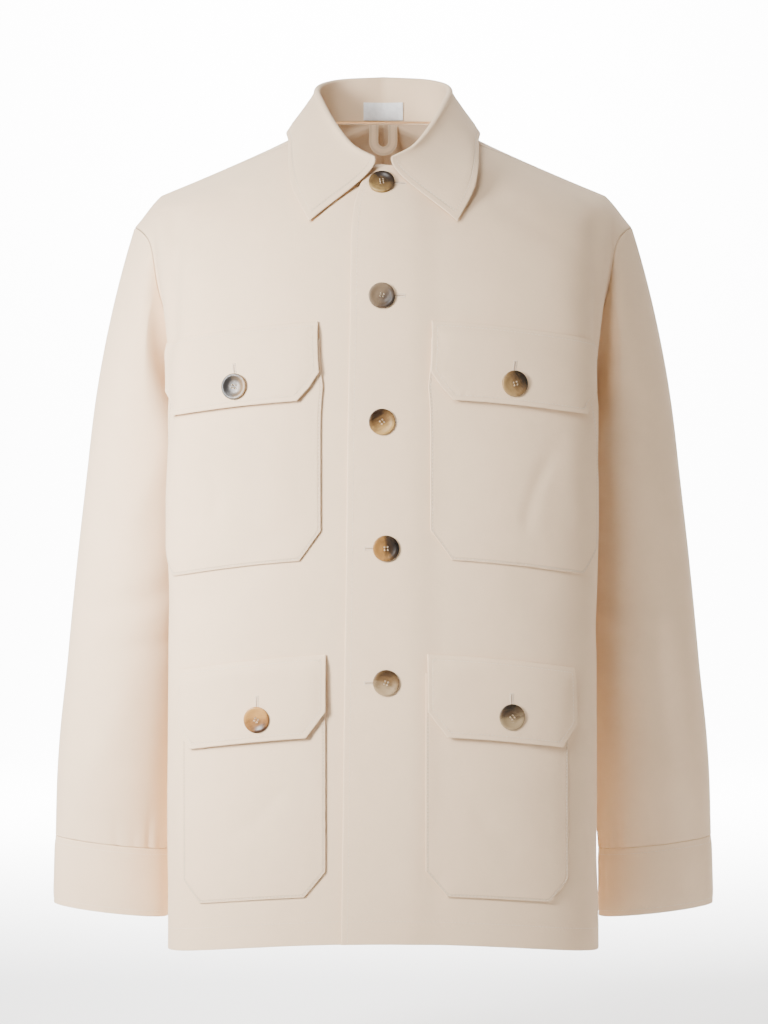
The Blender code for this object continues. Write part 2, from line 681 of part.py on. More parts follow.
def collar_piece():
    """The collar, one wall folded over on itself."""
    face = collar_grid()
    normals = grid_normals(face)
    middle = len(face) // 2
    if normals[middle, 0][1] > 0.0:
        normals = -normals
    add_wall("collar", face, face - normals * WALL, plain_finish("collar"))


def front_facets(face, is_left, rise):
    """One row of a front as its mesh has it: points of the grid, and their distances."""
    rises = panel_rises()
    above = max(int(np.searchsorted(rises, rise - 1e-9)), 1)
    below = above - 1
    share = (rise - rises[below]) / (rises[above] - rises[below])
    low_s = front_points(is_left, rises[below])[1]
    high_s = front_points(is_left, rises[above])[1]
    points = face[below] * (1 - share) + face[above] * share
    return points, low_s * (1 - share) + high_s * share


def patch_grid(face, is_left, size):
    """A patch on a front, made from the points of the front's own rows and columns.

    Its two lower corners are cut off. It also gives each row's share of the way down.
    """
    bottom, top = size["bottom_rise"], size["top_rise"]
    outer_s = size["inner_s"] + size["width"]
    _, spread = front_facets(face, is_left, (top + bottom) / 2)
    keep = [k for k, s in enumerate(spread)
            if size["inner_s"] + COLUMN_MARGIN < s < outer_s - COLUMN_MARGIN]
    steep = size["corner_rise"] / size["corner_s"]
    met = [bottom + size["corner_rise"] - (outer_s - s) * steep for s in spread[keep]]
    fixed = [top, bottom + size["corner_rise"], bottom]
    fixed += [rise for rise in met if rise > bottom + COLUMN_MARGIN]
    inside = [rise for rise in panel_rises()
              if bottom < rise < top and min(abs(rise - other) for other in fixed) > PATCH_MARGIN]
    rises = np.array(sorted([*inside, *fixed]))
    grid = []
    for rise in rises:
        cut = size["corner_s"] * max(0.0, 1.0 - (rise - bottom) / size["corner_rise"])
        start, end = size["inner_s"] + cut, outer_s - cut
        points, distances = front_facets(face, is_left, rise)
        middle = distances[keep]
        steps = np.arange(1, len(keep) + 1)
        middle = np.maximum(middle, start + steps * COLUMN_MARGIN)
        middle = np.minimum(middle, end - steps[::-1] * COLUMN_MARGIN)
        grid.append(points_at(points, distances, np.array([start, *middle, end])))
    grid = np.array(grid)
    down = (top - rises) / (top - bottom)
    return grid, grid_normals(grid), down


def pocket_offset(down):
    """How far the underside of a pocket stands off the front, the same all over."""
    return np.full_like(down, PATCH_GAP)


def flap_offset(down):
    """How far the underside of a flap stands off the front, by its share of the way down.

    It is sewn down along its top edge and clears the pocket below that.
    """
    down = np.asarray(down)
    full = WALL + 2 * PATCH_GAP + FLAP_LIFT * down ** 2
    return SEAM_GAP + (full - SEAM_GAP) * np.minimum(down / FLAP_SEAM_SHARE, 1.0)


def patch_pieces(rows, offset, faces):
    """Pockets or flaps on the fronts, standing off them by the offset."""
    for name, *values in rows:
        is_left = name.endswith("left")
        size = dict(zip(PATCH_COLUMNS, values))
        grid, normals, down = patch_grid(faces[0 if is_left else 1], is_left, size)
        inside = grid + normals * offset(down)[:, None, None]
        outside = inside + normals * WALL
        if not is_left:
            inside, outside = mirrored(inside), mirrored(outside)
        add_wall(name, outside, inside, plain_finish(name))


def place_on_front(s, rise):
    """A point on a front's outer face and the outward direction there."""
    step = 0.004
    points = []
    for height in (rise - step, rise, rise + step):
        line, run = front_row(height, step * 2)
        points.append(points_at(line, run, np.array([s - step, s, s + step])))
    points = np.array(points)
    along = points[1, 2] - points[1, 0]
    up = points[2, 1] - points[0, 1]
    return points[1, 1], unit(np.cross(along, up))


def button_piece(name, centre, normal):
    """A turned button: a rounded rim with a dished middle."""
    right = unit(np.cross([0.0, 0.0, 1.0], normal))
    up = np.cross(normal, right)
    profile = (
        (BUTTON_RADIUS * 0.86, 0.0),
        (BUTTON_RADIUS, BUTTON_THICKNESS * 0.40),
        (BUTTON_RADIUS * 0.97, BUTTON_THICKNESS * 0.80),
        (BUTTON_RADIUS * 0.86, BUTTON_THICKNESS),
        (BUTTON_RADIUS * 0.66, BUTTON_THICKNESS - BUTTON_DISH * 0.7),
        (BUTTON_RADIUS * 0.40, BUTTON_THICKNESS - BUTTON_DISH),
    )
    points = []
    for radius, height in profile:
        for k in range(BUTTON_SIDES):
            turn = 2 * math.pi * k / BUTTON_SIDES
            spoke = right * math.cos(turn) + up * math.sin(turn)
            points.append(centre + spoke * radius + normal * height)
    faces = [list(range(BUTTON_SIDES))]
    for ring in range(len(profile) - 1):
        for k in range(BUTTON_SIDES):
            k2 = (k + 1) % BUTTON_SIDES
            low, high = ring * BUTTON_SIDES, (ring + 1) * BUTTON_SIDES
            faces.append([low + k2, low + k, high + k, high + k2])
    top = (len(profile) - 1) * BUTTON_SIDES
    faces.append([top + k for k in reversed(range(BUTTON_SIDES))])
    add_object(name, points, faces, plain_finish(name, BUTTON_COLOURS[name], BUTTON_ROUGHNESS))


def button_pieces():
    """Five buttons down the centre line and one on each flap."""
    for name, s, rise in FRONT_BUTTONS:
        point, normal = place_on_front(s, rise)
        button_piece(name, point + normal * (LAP_LIFT + SEAM_GAP), normal)
    flap_sizes = {name: sizes for name, *sizes in FLAPS}
    for name, s, rise in FLAP_BUTTONS:
        is_left = name.endswith("left")
        _, _, top_rise, bottom_rise, _, _ = flap_sizes[name.replace("button_", "")]
        point, normal = place_on_front(s, rise)
        low_edge = (top_rise - rise + BUTTON_RADIUS) / (top_rise - bottom_rise)
        lift = float(lap_lift(s)) if is_left else 0.0
        seat = point + normal * (float(flap_offset(low_edge)) + WALL + SEAM_GAP + lift)
        if not is_left:
            seat, normal = seat * (-1.0, 1.0, 1.0), normal * (-1.0, 1.0, 1.0)
        button_piece(name, seat, normal)


def label_piece():
    """A blank label on the inside of the collar, at the centre back."""
    heights = np.linspace(LABEL_BASE_Z, LABEL_BASE_Z + LABEL_HEIGHT, 3)
    columns = np.linspace(-LABEL_WIDTH / 2, LABEL_WIDTH / 2, 9)
    grid = []
    for z in heights:
        row = []
        for x in columns:
            angle = 180.0 - math.degrees(math.asin(abs(x) / NECK_HALF_WIDTH))
            line = collar_section(angle)[:4]
            y = float(np.interp(z, line[:, 2], line[:, 1]))
            row.append([x, y, z])
        grid.append(row)
    grid = np.array(grid)
    normals = grid_normals(grid)
    if normals[1, 4][1] > 0.0:
        normals = -normals
    back_face = grid + normals * PATCH_GAP
    add_wall("neck_label", back_face + normals * TRIM_THICKNESS, back_face,
             plain_finish("neck_label", LABEL_COLOUR, LABEL_ROUGHNESS))


def hanger_loop_piece():
    """A narrow strip that hangs from the back neck seam in a U."""
    radius = LOOP_LEG_SPACING / 2
    bend_z = LOOP_TOP_Z - LOOP_LEG_LENGTH
    path = [(-radius, LOOP_TOP_Z), (-radius, bend_z)]
    for turn in np.linspace(0.0, math.pi, 9)[1:-1]:
        path.append((-radius * math.cos(turn), bend_z - radius * math.sin(turn)))
    path += [(radius, bend_z), (radius, LOOP_TOP_Z)]
    path = np.array(path)
    ahead = unit(np.gradient(path, axis=0))
    across = np.stack([-ahead[:, 1], ahead[:, 0]], axis=1)
    across[0] = across[1] = (1.0, 0.0)
    across[-1] = across[-2] = (-1.0, 0.0)
    rows = []
    for side in (-0.5, 0.0, 0.5):
        flat = path + across * side * LOOP_STRIP_WIDTH
        y = LOOP_TOP_Y - TRIM_THICKNESS + (LOOP_TOP_Z - flat[:, 1]) * LOOP_SLANT
        rows.append(np.stack([flat[:, 0], y, flat[:, 1]], axis=1))
    grid = np.array(rows)
    add_wall("hanger_loop", grid, grid + np.array([0.0, TRIM_THICKNESS, 0.0]),
             plain_finish("hanger_loop"))


front_faces = body_pieces()
cuff_pieces()
collar_piece()
patch_pieces(POCKETS, pocket_offset, front_faces)
patch_pieces(FLAPS, flap_offset, front_faces)
button_pieces()
label_piece()
hanger_loop_piece()
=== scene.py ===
# %% [markdown]
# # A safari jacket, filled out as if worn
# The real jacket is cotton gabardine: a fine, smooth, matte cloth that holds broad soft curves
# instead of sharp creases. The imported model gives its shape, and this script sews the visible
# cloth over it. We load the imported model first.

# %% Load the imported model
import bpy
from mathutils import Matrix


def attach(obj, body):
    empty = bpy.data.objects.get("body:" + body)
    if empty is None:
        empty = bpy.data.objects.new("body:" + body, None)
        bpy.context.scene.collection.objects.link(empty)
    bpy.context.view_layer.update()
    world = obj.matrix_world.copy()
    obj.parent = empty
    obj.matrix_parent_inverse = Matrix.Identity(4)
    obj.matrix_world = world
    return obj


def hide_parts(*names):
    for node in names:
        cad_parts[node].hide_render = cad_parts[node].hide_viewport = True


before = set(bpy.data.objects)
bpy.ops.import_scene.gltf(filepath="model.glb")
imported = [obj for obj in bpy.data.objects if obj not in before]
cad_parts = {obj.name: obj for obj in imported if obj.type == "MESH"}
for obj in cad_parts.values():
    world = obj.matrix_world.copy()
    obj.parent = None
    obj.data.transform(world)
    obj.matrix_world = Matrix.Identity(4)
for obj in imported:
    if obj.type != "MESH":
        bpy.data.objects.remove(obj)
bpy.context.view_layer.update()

import math

import bpy
import numpy as np
from mathutils import Vector

for cad_object in bpy.context.selected_objects:
    cad_object.select_set(False)

# %% [markdown]
# ## The cut
# A pattern cutter keeps a jacket as a few measured lines. Here they are short tables: rows of
# the front and back panels from the hem up, the armhole, the sleeve, the lap and the collar.
# Each row of a panel runs from the centre line round to the side seam or the armhole. "Rise"
# is the length of cloth above the hem.

# %% Cloth, seams and neckline
WALL = 0.0015
SEAM_GAP = 0.0003
TRIM_THICKNESS = 0.0010
NECK_HALF_WIDTH = 0.068
NECK_MIDDLE_Y = -0.012
NECK_FRONT_REACH = 0.090
NECK_BACK_REACH = 0.060
SHOULDER_SEAM_ANGLE = 78.0
NECK_COLUMNS = ("angle", "z")
NECK_HEIGHTS = (
    (0, -0.0420),
    (40, -0.0290),
    (78, -0.0060),
    (100, 0.0050),
    (140, 0.0130),
    (180, 0.0150),
)
UNDERARM_RISE = 0.490
TOP_RISE = 0.780
NECK_SHARE_FRONT = 9 / 12
NECK_SHARE_BACK = 8 / 12
NECK_RISE_FRONT = UNDERARM_RISE + (TOP_RISE - UNDERARM_RISE) * NECK_SHARE_FRONT
NECK_RISE_BACK = UNDERARM_RISE + (TOP_RISE - UNDERARM_RISE) * NECK_SHARE_BACK
ROUNDNESS = 2.25

# %% Panels, side seam and armhole
ROW_COLUMNS = ("rise", "centre_y", "centre_z", "edge_x", "edge_y", "edge_z", "fullness", "fall_off")
FRONT_ROWS = (
    (0.000, -0.136, -0.728, 0.1945, -0.052, -0.742, 1.00, 2.0),
    (0.178, -0.142, -0.550, 0.1935, -0.058, -0.569, 1.00, 2.0),
    (0.328, -0.148, -0.400, 0.1920, -0.068, -0.418, 1.00, 2.0),
    (0.490, -0.152, -0.238, 0.1940, -0.079, -0.254, 1.00, 2.0),
    (0.570, -0.146, -0.160, 0.1970, -0.068, -0.178, 0.95, 1.8),
    (0.645, -0.128, -0.087, 0.2050, -0.056, -0.112, 0.80, 1.5),
    (0.7075, -0.102, -0.042, 0.2060, -0.036, -0.078, 0.50, 1.2),
    (0.780, -0.036, -0.006, 0.2040, 0.000, -0.0575, 0.10, 1.0),
)
BACK_ROWS = (
    (0.000, 0.124, -0.738, 0.1840, 0.074, -0.742, 1.00, 2.0),
    (0.178, 0.126, -0.555, 0.1800, 0.084, -0.562, 1.00, 2.0),
    (0.328, 0.126, -0.400, 0.1760, 0.094, -0.412, 1.00, 2.0),
    (0.490, 0.136, -0.235, 0.1800, 0.100, -0.250, 1.00, 2.0),
    (0.570, 0.132, -0.150, 0.1930, 0.090, -0.176, 0.95, 1.8),
    (0.635, 0.106, -0.062, 0.2040, 0.070, -0.110, 0.75, 1.4),
    (0.6833, 0.048, 0.015, 0.2050, 0.048, -0.078, 0.45, 1.1),
    (0.735, 0.015, 0.008, 0.2045, 0.020, -0.0600, 0.20, 1.0),
    (0.780, -0.036, -0.006, 0.2040, 0.000, -0.0575, 0.10, 1.0),
)
SIDE_COLUMNS = ("rise", "x", "y", "z")
SIDE_SEAM = (
    (0.000, 0.186, 0.012, -0.745),
    (0.178, 0.168, 0.014, -0.566),
    (0.328, 0.152, 0.014, -0.417),
    (0.490, 0.148, 0.014, -0.257),
)
ARMHOLE_COLUMNS = ("x", "y", "z")
ARMHOLE = (
    ("underarm", 0.148, 0.014, -0.257),
    ("front low", 0.184, -0.032, -0.205),
    ("front middle", 0.203, -0.047, -0.150),
    ("front high", 0.212, -0.040, -0.105),
    ("top", 0.2290, 0.002, -0.087),
    ("back high", 0.2140, 0.050, -0.108),
    ("back middle", 0.203, 0.064, -0.150),
    ("back low", 0.184, 0.056, -0.205),
)
ARMHOLE_TOP = 4
ARMHOLE_SPREAD = 0.70
AIM_COLUMNS = ("share", "x", "y", "z")
AIMS = (
    (0.00, 0.00, 0.95, 0.30),
    (0.10, 0.20, 0.75, 0.60),
    (0.20, 0.40, 0.75, 0.50),
    (0.35, 0.50, 0.85, 0.10),
    (0.60, 0.60, 0.60, -0.35),
    (1.00, 0.75, 0.00, -0.66),
)
SLEEVE_HEAD_TOP = (0.30, 0.00, -0.95)
SLEEVE_HEAD_FRONT = (0.35, 0.30, -0.88)
SLEEVE_HEAD_UNDER = (0.85, 0.00, -0.50)
STRAIGHTNESS = 2.0
STRAIGHT_BLEND = 0.060
UNDERARM_COLUMNS = ("share", "down")
UNDERARM_FACING = (
    (0.000, 1.0),
    (0.083, 0.5),
    (0.167, 0.2),
    (0.250, 0.0),
)

# %% Sleeve, lap and collar
SLEEVE_LEAN = math.radians(6.6)
SLEEVE_COLUMNS = ("z", "outer_x", "half_width", "half_depth", "centre_y")
SLEEVE_ROWS = (
    (-0.720, 0.3068, 0.0535, 0.0340, 0.035),
    (-0.655, 0.3050, 0.0530, 0.0370, 0.034),
    (-0.600, 0.3032, 0.0545, 0.0480, 0.031),
    (-0.500, 0.2947, 0.0560, 0.0570, 0.027),
    (-0.400, 0.2847, 0.0560, 0.0610, 0.023),
    (-0.300, 0.2730, 0.0560, 0.0640, 0.020),
)
SLEEVE_HEAD_Z = -0.300
CUFF_SEAM_Z = -0.655
CUFF_END_Z = -0.718
LAP_COLUMNS = ("rise", "lap")
LAP = (
    (0.000, 0.0370),
    (0.300, 0.0330),
    (0.550, 0.0290),
    (0.660, 0.0250),
    (0.7075, 0.0140),
)
UNDER_LAP = 0.022
UNDER_LAP_AT_NECK = 0.001
UNDER_LAP_NARROWS = 0.62
LAP_LIFT = WALL + SEAM_GAP + 0.0005
LAP_BLEND = 0.030
NECK_TUCK = 0.0018
NECK_TUCK_RISE = 0.600
NECK_TUCK_WIDTH = 0.045
COLLAR_START_ANGLE = 6.0
COLLAR_COLUMNS = ("angle", "fold_x", "fold_y", "fold_z", "edge_x", "edge_y", "edge_z")
COLLAR_ROWS = (
    (6, 0.0070, -0.1100, -0.0340, 0.0655, -0.1260, -0.0925),
    (30, 0.0270, -0.0960, -0.0215, 0.0800, -0.1080, -0.0640),
    (55, 0.0440, -0.0660, 0.0020, 0.0850, -0.0860, -0.0400),
    (80, 0.0565, -0.0290, 0.0270, 0.0870, -0.0440, -0.0130),
    (105, 0.0610, 0.0020, 0.0420, 0.0890, -0.0040, 0.0010),
    (140, 0.0455, 0.0370, 0.0540, 0.0640, 0.0560, 0.0060),
    (180, 0.0000, 0.0530, 0.0590, 0.0000, 0.0800, 0.0060),
)
COLLAR_FOLD_RADIUS = 0.0030
COLLAR_BASE_LIFT = 0.0014
COLLAR_LAP_RISE = 1.2

# %% Label, loop, pockets, flaps and buttons
LABEL_WIDTH = 0.0375
LABEL_HEIGHT = 0.0168
LABEL_BASE_Z = 0.0172
LOOP_STRIP_WIDTH = 0.0085
LOOP_LEG_SPACING = 0.0178
LOOP_TOP_Z = 0.0125
LOOP_LEG_LENGTH = 0.0150
LOOP_TOP_Y = 0.0442
LOOP_SLANT = 0.15
PATCH_COLUMNS = ("inner_s", "width", "top_rise", "bottom_rise", "corner_s", "corner_rise")
POCKETS = (
    ("pocket_upper_left", 0.0410, 0.1640, 0.5330, 0.3390, 0.0190, 0.0250),
    ("pocket_upper_right", 0.0545, 0.1640, 0.5330, 0.3390, 0.0190, 0.0250),
    ("pocket_lower_left", 0.0370, 0.1320, 0.2400, 0.0430, 0.0190, 0.0220),
    ("pocket_lower_right", 0.0505, 0.1360, 0.2400, 0.0430, 0.0190, 0.0220),
)
FLAPS = (
    ("flap_upper_left", 0.0415, 0.1650, 0.5490, 0.4780, 0.0200, 0.0245),
    ("flap_upper_right", 0.0560, 0.1630, 0.5490, 0.4780, 0.0200, 0.0245),
    ("flap_lower_left", 0.0385, 0.1380, 0.2560, 0.1840, 0.0170, 0.0220),
    ("flap_lower_right", 0.0500, 0.1420, 0.2560, 0.1840, 0.0170, 0.0220),
)
PATCH_GAP = 0.0008
FLAP_LIFT = 0.0030
FLAP_SEAM_SHARE = 0.14
BUTTON_RADIUS = 0.0115
BUTTON_THICKNESS = 0.0036
FRONT_BUTTONS = (
    ("button_front_1", -0.0014, 0.6825),
    ("button_front_2", -0.0013, 0.5700),
    ("button_front_3", -0.0011, 0.4575),
    ("button_front_4", 0.0024, 0.3475),
    ("button_front_5", 0.0024, 0.2300),
)
FLAP_BUTTONS = (
    ("button_flap_upper_left", 0.1142, 0.4966),
    ("button_flap_upper_right", 0.1299, 0.4957),
    ("button_flap_lower_left", 0.1123, 0.2060),
    ("button_flap_lower_right", 0.1105, 0.2035),
)

# %% [markdown]
# ## Reading the tables
# Between the rows of a table the cloth runs smoothly, so each column is read as a smooth curve.
# A row of a panel is a rounded quarter from the centre line to the body's edge, then a short
# turn from there to the side seam or the armhole.

# %% Curves


def table(columns, rows):
    """The rows of a table as one array for each named column; a leading name is left off."""
    data = np.array([row[-len(columns):] for row in rows], dtype=float)
    return {name: data[:, i] for i, name in enumerate(columns)}


def smooth(knots, values, at):
    """A smooth curve through the values, read at the places asked for."""
    knots = np.asarray(knots, dtype=float)
    values = np.asarray(values, dtype=float)
    slopes = np.gradient(values, knots, axis=0)
    at = np.clip(np.asarray(at, dtype=float), knots[0], knots[-1])
    i = np.clip(np.searchsorted(knots, at, side="right") - 1, 0, len(knots) - 2)
    span = knots[i + 1] - knots[i]
    t = (at - knots[i]) / span
    if values.ndim == 2:
        span = np.asarray(span)[..., None]
        t = np.asarray(t)[..., None]
    start = values[i] * (2 * t**3 - 3 * t**2 + 1) + slopes[i] * span * (t**3 - 2 * t**2 + t)
    end = values[i + 1] * (3 * t**2 - 2 * t**3) + slopes[i + 1] * span * (t**3 - t**2)
    return start + end


def hermite(start, leave, end, arrive, t):
    """Points of the curve that leaves start along one vector and reaches end along another."""
    t = np.asarray(t)[:, None]
    return (start * (2 * t**3 - 3 * t**2 + 1) + leave * (t**3 - 2 * t**2 + t)
            + end * (3 * t**2 - 2 * t**3) + arrive * (t**3 - t**2))


def soft_step(value):
    """0 below 0, 1 above 1, and an even rise between."""
    value = np.clip(value, 0.0, 1.0)
    return value * value * (3 - 2 * value)


def unit(vectors):
    """The vectors at length 1."""
    vectors = np.asarray(vectors, dtype=float)
    return vectors / np.maximum(np.linalg.norm(vectors, axis=-1, keepdims=True), 1e-12)


def run_lengths(line):
    """The distance along a line of points at each of them."""
    return np.concatenate([[0.0], np.cumsum(np.linalg.norm(np.diff(line, axis=0), axis=1))])


def points_at(line, run, distances):
    """The points of a line at the distances given."""
    return np.stack([np.interp(distances, run, line[:, k]) for k in range(3)], axis=1)


FRONT = table(ROW_COLUMNS, FRONT_ROWS)
BACK = table(ROW_COLUMNS, BACK_ROWS)
SIDE = table(SIDE_COLUMNS, SIDE_SEAM)
SLEEVE = table(SLEEVE_COLUMNS, SLEEVE_ROWS)
COLLAR = table(COLLAR_COLUMNS, COLLAR_ROWS)
NECK = table(NECK_COLUMNS, NECK_HEIGHTS)
LAPS = table(LAP_COLUMNS, LAP)
AIM = table(AIM_COLUMNS, AIMS)
ARM = table(ARMHOLE_COLUMNS, ARMHOLE)
UNDERARM = table(UNDERARM_COLUMNS, UNDERARM_FACING)

# %% Armhole, neckline and panel rows


def armhole_points(fractions):
    """Points of the armhole: 0 is the underarm and 0.5 the shoulder top, by way of the front."""
    corners = np.stack([ARM[axis] for axis in ARMHOLE_COLUMNS], axis=1)
    ring = np.vstack([corners[-2:], corners, corners[:3]])
    knots = run_lengths(ring)
    start = knots[2]
    top = knots[2 + ARMHOLE_TOP] - start
    whole = knots[2 + len(corners)] - start
    f = np.asarray(fractions, dtype=float) % 1.0
    climb = (2 * np.minimum(f, 1.0 - f)) ** ARMHOLE_SPREAD
    along = np.where(f <= 0.5, climb * top, whole - climb * (whole - top))
    return smooth(knots, ring, start + along)


def neckline(angle):
    """A point of the neckline: 0 is the centre front, 90 the side and 180 the centre back."""
    turn = math.radians(angle)
    reach = NECK_FRONT_REACH if angle <= 90 else NECK_BACK_REACH
    z = float(smooth(NECK["angle"], NECK["z"], angle))
    return np.array([NECK_HALF_WIDTH * math.sin(turn), NECK_MIDDLE_Y - reach * math.cos(turn), z])


def row_curve(rows, rise, samples=160):
    """One row of a half panel, from the centre line to the side seam or the armhole."""
    is_front = rows is FRONT
    facing = 1.0 if is_front else -1.0
    value = {name: float(smooth(rows["rise"], column, rise)) for name, column in rows.items()}
    neck_rise = NECK_RISE_FRONT if is_front else NECK_RISE_BACK
    centre = np.array([0.0, value["centre_y"], value["centre_z"]])
    if rise > neck_rise:
        share = (rise - neck_rise) / (TOP_RISE - neck_rise)
        start = 0.0 if is_front else 180.0
        centre = neckline(start + (SHOULDER_SEAM_ANGLE - start) * share)
    edge = np.array([value["edge_x"], value["edge_y"], value["edge_z"]])
    aim = np.array([0.0, facing, 0.0])
    if rise <= UNDERARM_RISE:
        side = np.array([float(smooth(SIDE["rise"], SIDE[axis], rise)) for axis in "xyz"])
    else:
        share = (rise - UNDERARM_RISE) / (TOP_RISE - UNDERARM_RISE)
        side = armhole_points(0.5 * share if is_front else 1.0 - 0.5 * share)
        aim = np.array([float(smooth(AIM["share"], AIM[axis], share)) for axis in "xyz"])
        aim = aim * (1.0, facing, 1.0)
    t = np.linspace(0.0, 1.0, samples)
    full = value["fullness"]
    across = full * np.sin(t * math.pi / 2) ** (2 / ROUNDNESS) + (1 - full) * t
    depth = full * np.maximum(np.cos(t * math.pi / 2), 0.0) ** (2 / ROUNDNESS) + (1 - full) * (1 - t)
    depth[-1] = 0.0
    quarter = np.stack([
        centre[0] + (edge[0] - centre[0]) * across,
        edge[1] + (centre[1] - edge[1]) * depth,
        centre[2] + (edge[2] - centre[2]) * across ** value["fall_off"],
    ], axis=1)
    reach = np.linalg.norm(side - edge)
    straight = unit(side - edge) * STRAIGHTNESS * soft_step((rise - UNDERARM_RISE) / STRAIGHT_BLEND)
    corner = max(samples // 20, 3)
    leave = unit(unit(quarter[-1] - quarter[-corner]) + straight)
    arrive = unit(unit(aim) + straight)
    turn = hermite(edge, leave * reach, side, arrive * reach, np.linspace(0.0, 1.0, samples // 2)[1:])
    return np.vstack([quarter, turn])


def front_row(rise, lap):
    """A front row with its reach past the centre line, and the distance from that line."""
    line = row_curve(FRONT, rise)
    run = run_lengths(line)
    if lap > 0.0:
        past = points_at(line, run, np.linspace(lap, 0.0, 8)[:-1]) * (-1.0, 1.0, 1.0)
        line = np.vstack([past, line])
        run = run_lengths(line) - lap
    return line, run


def lap_at(rise):
    """How far the upper front reaches past the centre line."""
    return float(smooth(LAPS["rise"], LAPS["lap"], rise)) if rise <= NECK_RISE_FRONT + 1e-9 else 0.0


def under_lap_at(rise):
    """How far the lower front reaches past the centre line."""
    if rise > NECK_RISE_FRONT + 1e-9:
        return 0.0
    near_neck = soft_step((rise - UNDER_LAP_NARROWS) / (NECK_RISE_FRONT - UNDER_LAP_NARROWS))
    return UNDER_LAP + (UNDER_LAP_AT_NECK - UNDER_LAP) * near_neck


def lap_lift(x):
    """How far the upper front stands off the lower one, by how far left of the centre it is."""
    return LAP_LIFT * (1.0 - soft_step((np.asarray(x) - UNDER_LAP) / LAP_BLEND))


FLIP = np.array([-1.0, 1.0, 1.0])


def on_side(points, normals, mirror):
    """Points and normals as they are, or on the wearer's other side."""
    side = FLIP if mirror else 1.0
    return points * side, normals * side


def grid_normals(grid, closed=False):
    """Unit normals of a grid of points, by the cross product of its two directions."""
    if closed:
        along = np.roll(grid, -1, axis=1) - np.roll(grid, 1, axis=1)
    else:
        along = np.gradient(grid, axis=1)
    up = np.gradient(grid, axis=0)
    return unit(np.cross(along, up))


print("back neck point:", np.round(neckline(180.0), 4), "armhole top:", np.round(armhole_points(0.5), 4))

# %% [markdown]
# ## Cloth with two faces
# A cut piece is a thin shell with an outer face, an inner face and a rim round its edges. Rows
# and columns of points lie closer together next to the edges, so that each edge rounds over
# softly as a pressed hem does. Every piece also keeps two measurements for its finish: a UV map
# in metres of cloth, and the distance to its nearest line of stitches.

# %% Steps that crowd towards the edges
NEAR_EDGE = (0.0002, 0.0006, 0.0012, 0.0022, 0.0036)
EDGE_RADIUS = 0.0010
CLOTH_STEP = 0.0048
FAR = 1.0


def crowded(length, step=CLOTH_STEP, low=True, high=True):
    """Places from 0 to the length, evenly spaced but for the closer ones near its edges."""
    near = np.array(NEAR_EDGE)
    start = near[-1] if low else 0.0
    end = length - near[-1] if high else length
    count = max(int(round((end - start) / step)), 2)
    places = np.linspace(start, end, count + 1)
    if low:
        places = np.concatenate([[0.0], near[:-1], places])
    if high:
        places = np.concatenate([places, (length - near[:-1])[::-1], [length]])
    return places


PANEL_WIDTH = 0.300
HEAD_LENGTH = 0.170
SLEEVE_GIRTH = 0.360
BODY_RISES = crowded(UNDERARM_RISE, high=False)
SHARES = np.concatenate([np.linspace(0.0, 1.0, 61)[:-1], [0.992, 0.996, 0.999, 1.0]])
SHOULDER_STEPS = len(SHARES) - 1
PANEL_RISES = np.concatenate([BODY_RISES, UNDERARM_RISE + SHARES[1:] * (TOP_RISE - UNDERARM_RISE)])
PANEL_PLACES = crowded(PANEL_WIDTH) / PANEL_WIDTH
FRACTIONS = np.concatenate([SHARES / 2, 1.0 - SHARES[-2:0:-1] / 2])
print("rows in a panel:", len(PANEL_RISES), "threads round a sleeve:", len(FRACTIONS))

# %% A cut piece as rows of points


class Cloth:
    """Rows of points and normals. Each row runs from starts to ends, at the same places."""

    def __init__(self, points, normals, places, starts, ends, up, closed=False):
        self.points, self.normals, self.places = points, normals, places
        self.starts, self.ends, self.up = starts, ends, up
        self.closed = closed

    def across(self):
        """The distance of every point along its own row."""
        return self.starts[:, None] + (self.ends - self.starts)[:, None] * self.places

    def upward(self):
        """The rise of every point."""
        return np.broadcast_to(self.up[:, None], self.points.shape[:2])

    def at(self, s, rise):
        """Points and normals at distances across and rises, given as arrays or numbers."""
        s, rise = np.broadcast_arrays(np.asarray(s, dtype=float), np.asarray(rise, dtype=float))
        start = np.interp(rise, self.up, self.starts)
        end = np.interp(rise, self.up, self.ends)
        place = np.clip((s - start) / (end - start), 0.0, 1.0)
        row = np.clip(np.searchsorted(self.up, rise) - 1, 0, len(self.up) - 2)
        column = np.clip(np.searchsorted(self.places, place) - 1, 0, len(self.places) - 2)
        v = ((rise - self.up[row]) / (self.up[row + 1] - self.up[row]))[..., None]
        u = ((place - self.places[column]) / (self.places[column + 1] - self.places[column]))[..., None]
        found = []
        for grid in (self.points, self.normals):
            low = grid[row, column] * (1 - u) + grid[row, column + 1] * u
            high = grid[row + 1, column] * (1 - u) + grid[row + 1, column + 1] * u
            found.append(low * (1 - v) + high * v)
        return found[0], unit(found[1])

    def raise_by(self, heights):
        """Moves the cloth along its normals, and works the normals out again."""
        old = self.normals
        self.points = self.points + old * heights[..., None]
        fresh = grid_normals(self.points, self.closed)
        self.normals = fresh * np.sign(np.sum(fresh * old, axis=-1, keepdims=True))

    def mirrored(self):
        """The same cloth on the wearer's other side."""
        points, normals = on_side(self.points, self.normals, True)
        return Cloth(points, normals, self.places, self.starts, self.ends, self.up, self.closed)

    def size(self):
        """The cut's width, length and area, measured along the cloth."""
        points = self.points
        if self.closed:
            points = np.concatenate([points, points[:, :1]], axis=1)
        width = np.linalg.norm(np.diff(points, axis=1), axis=-1).sum(axis=1).max()
        length = np.linalg.norm(np.diff(points, axis=0), axis=-1).sum(axis=0).max()
        along = points[:-1, 1:] - points[:-1, :-1]
        upward = points[1:, :-1] - points[:-1, :-1]
        area = np.linalg.norm(np.cross(along, upward), axis=-1).sum()
        return float(width), float(length), float(min(area, width * length))


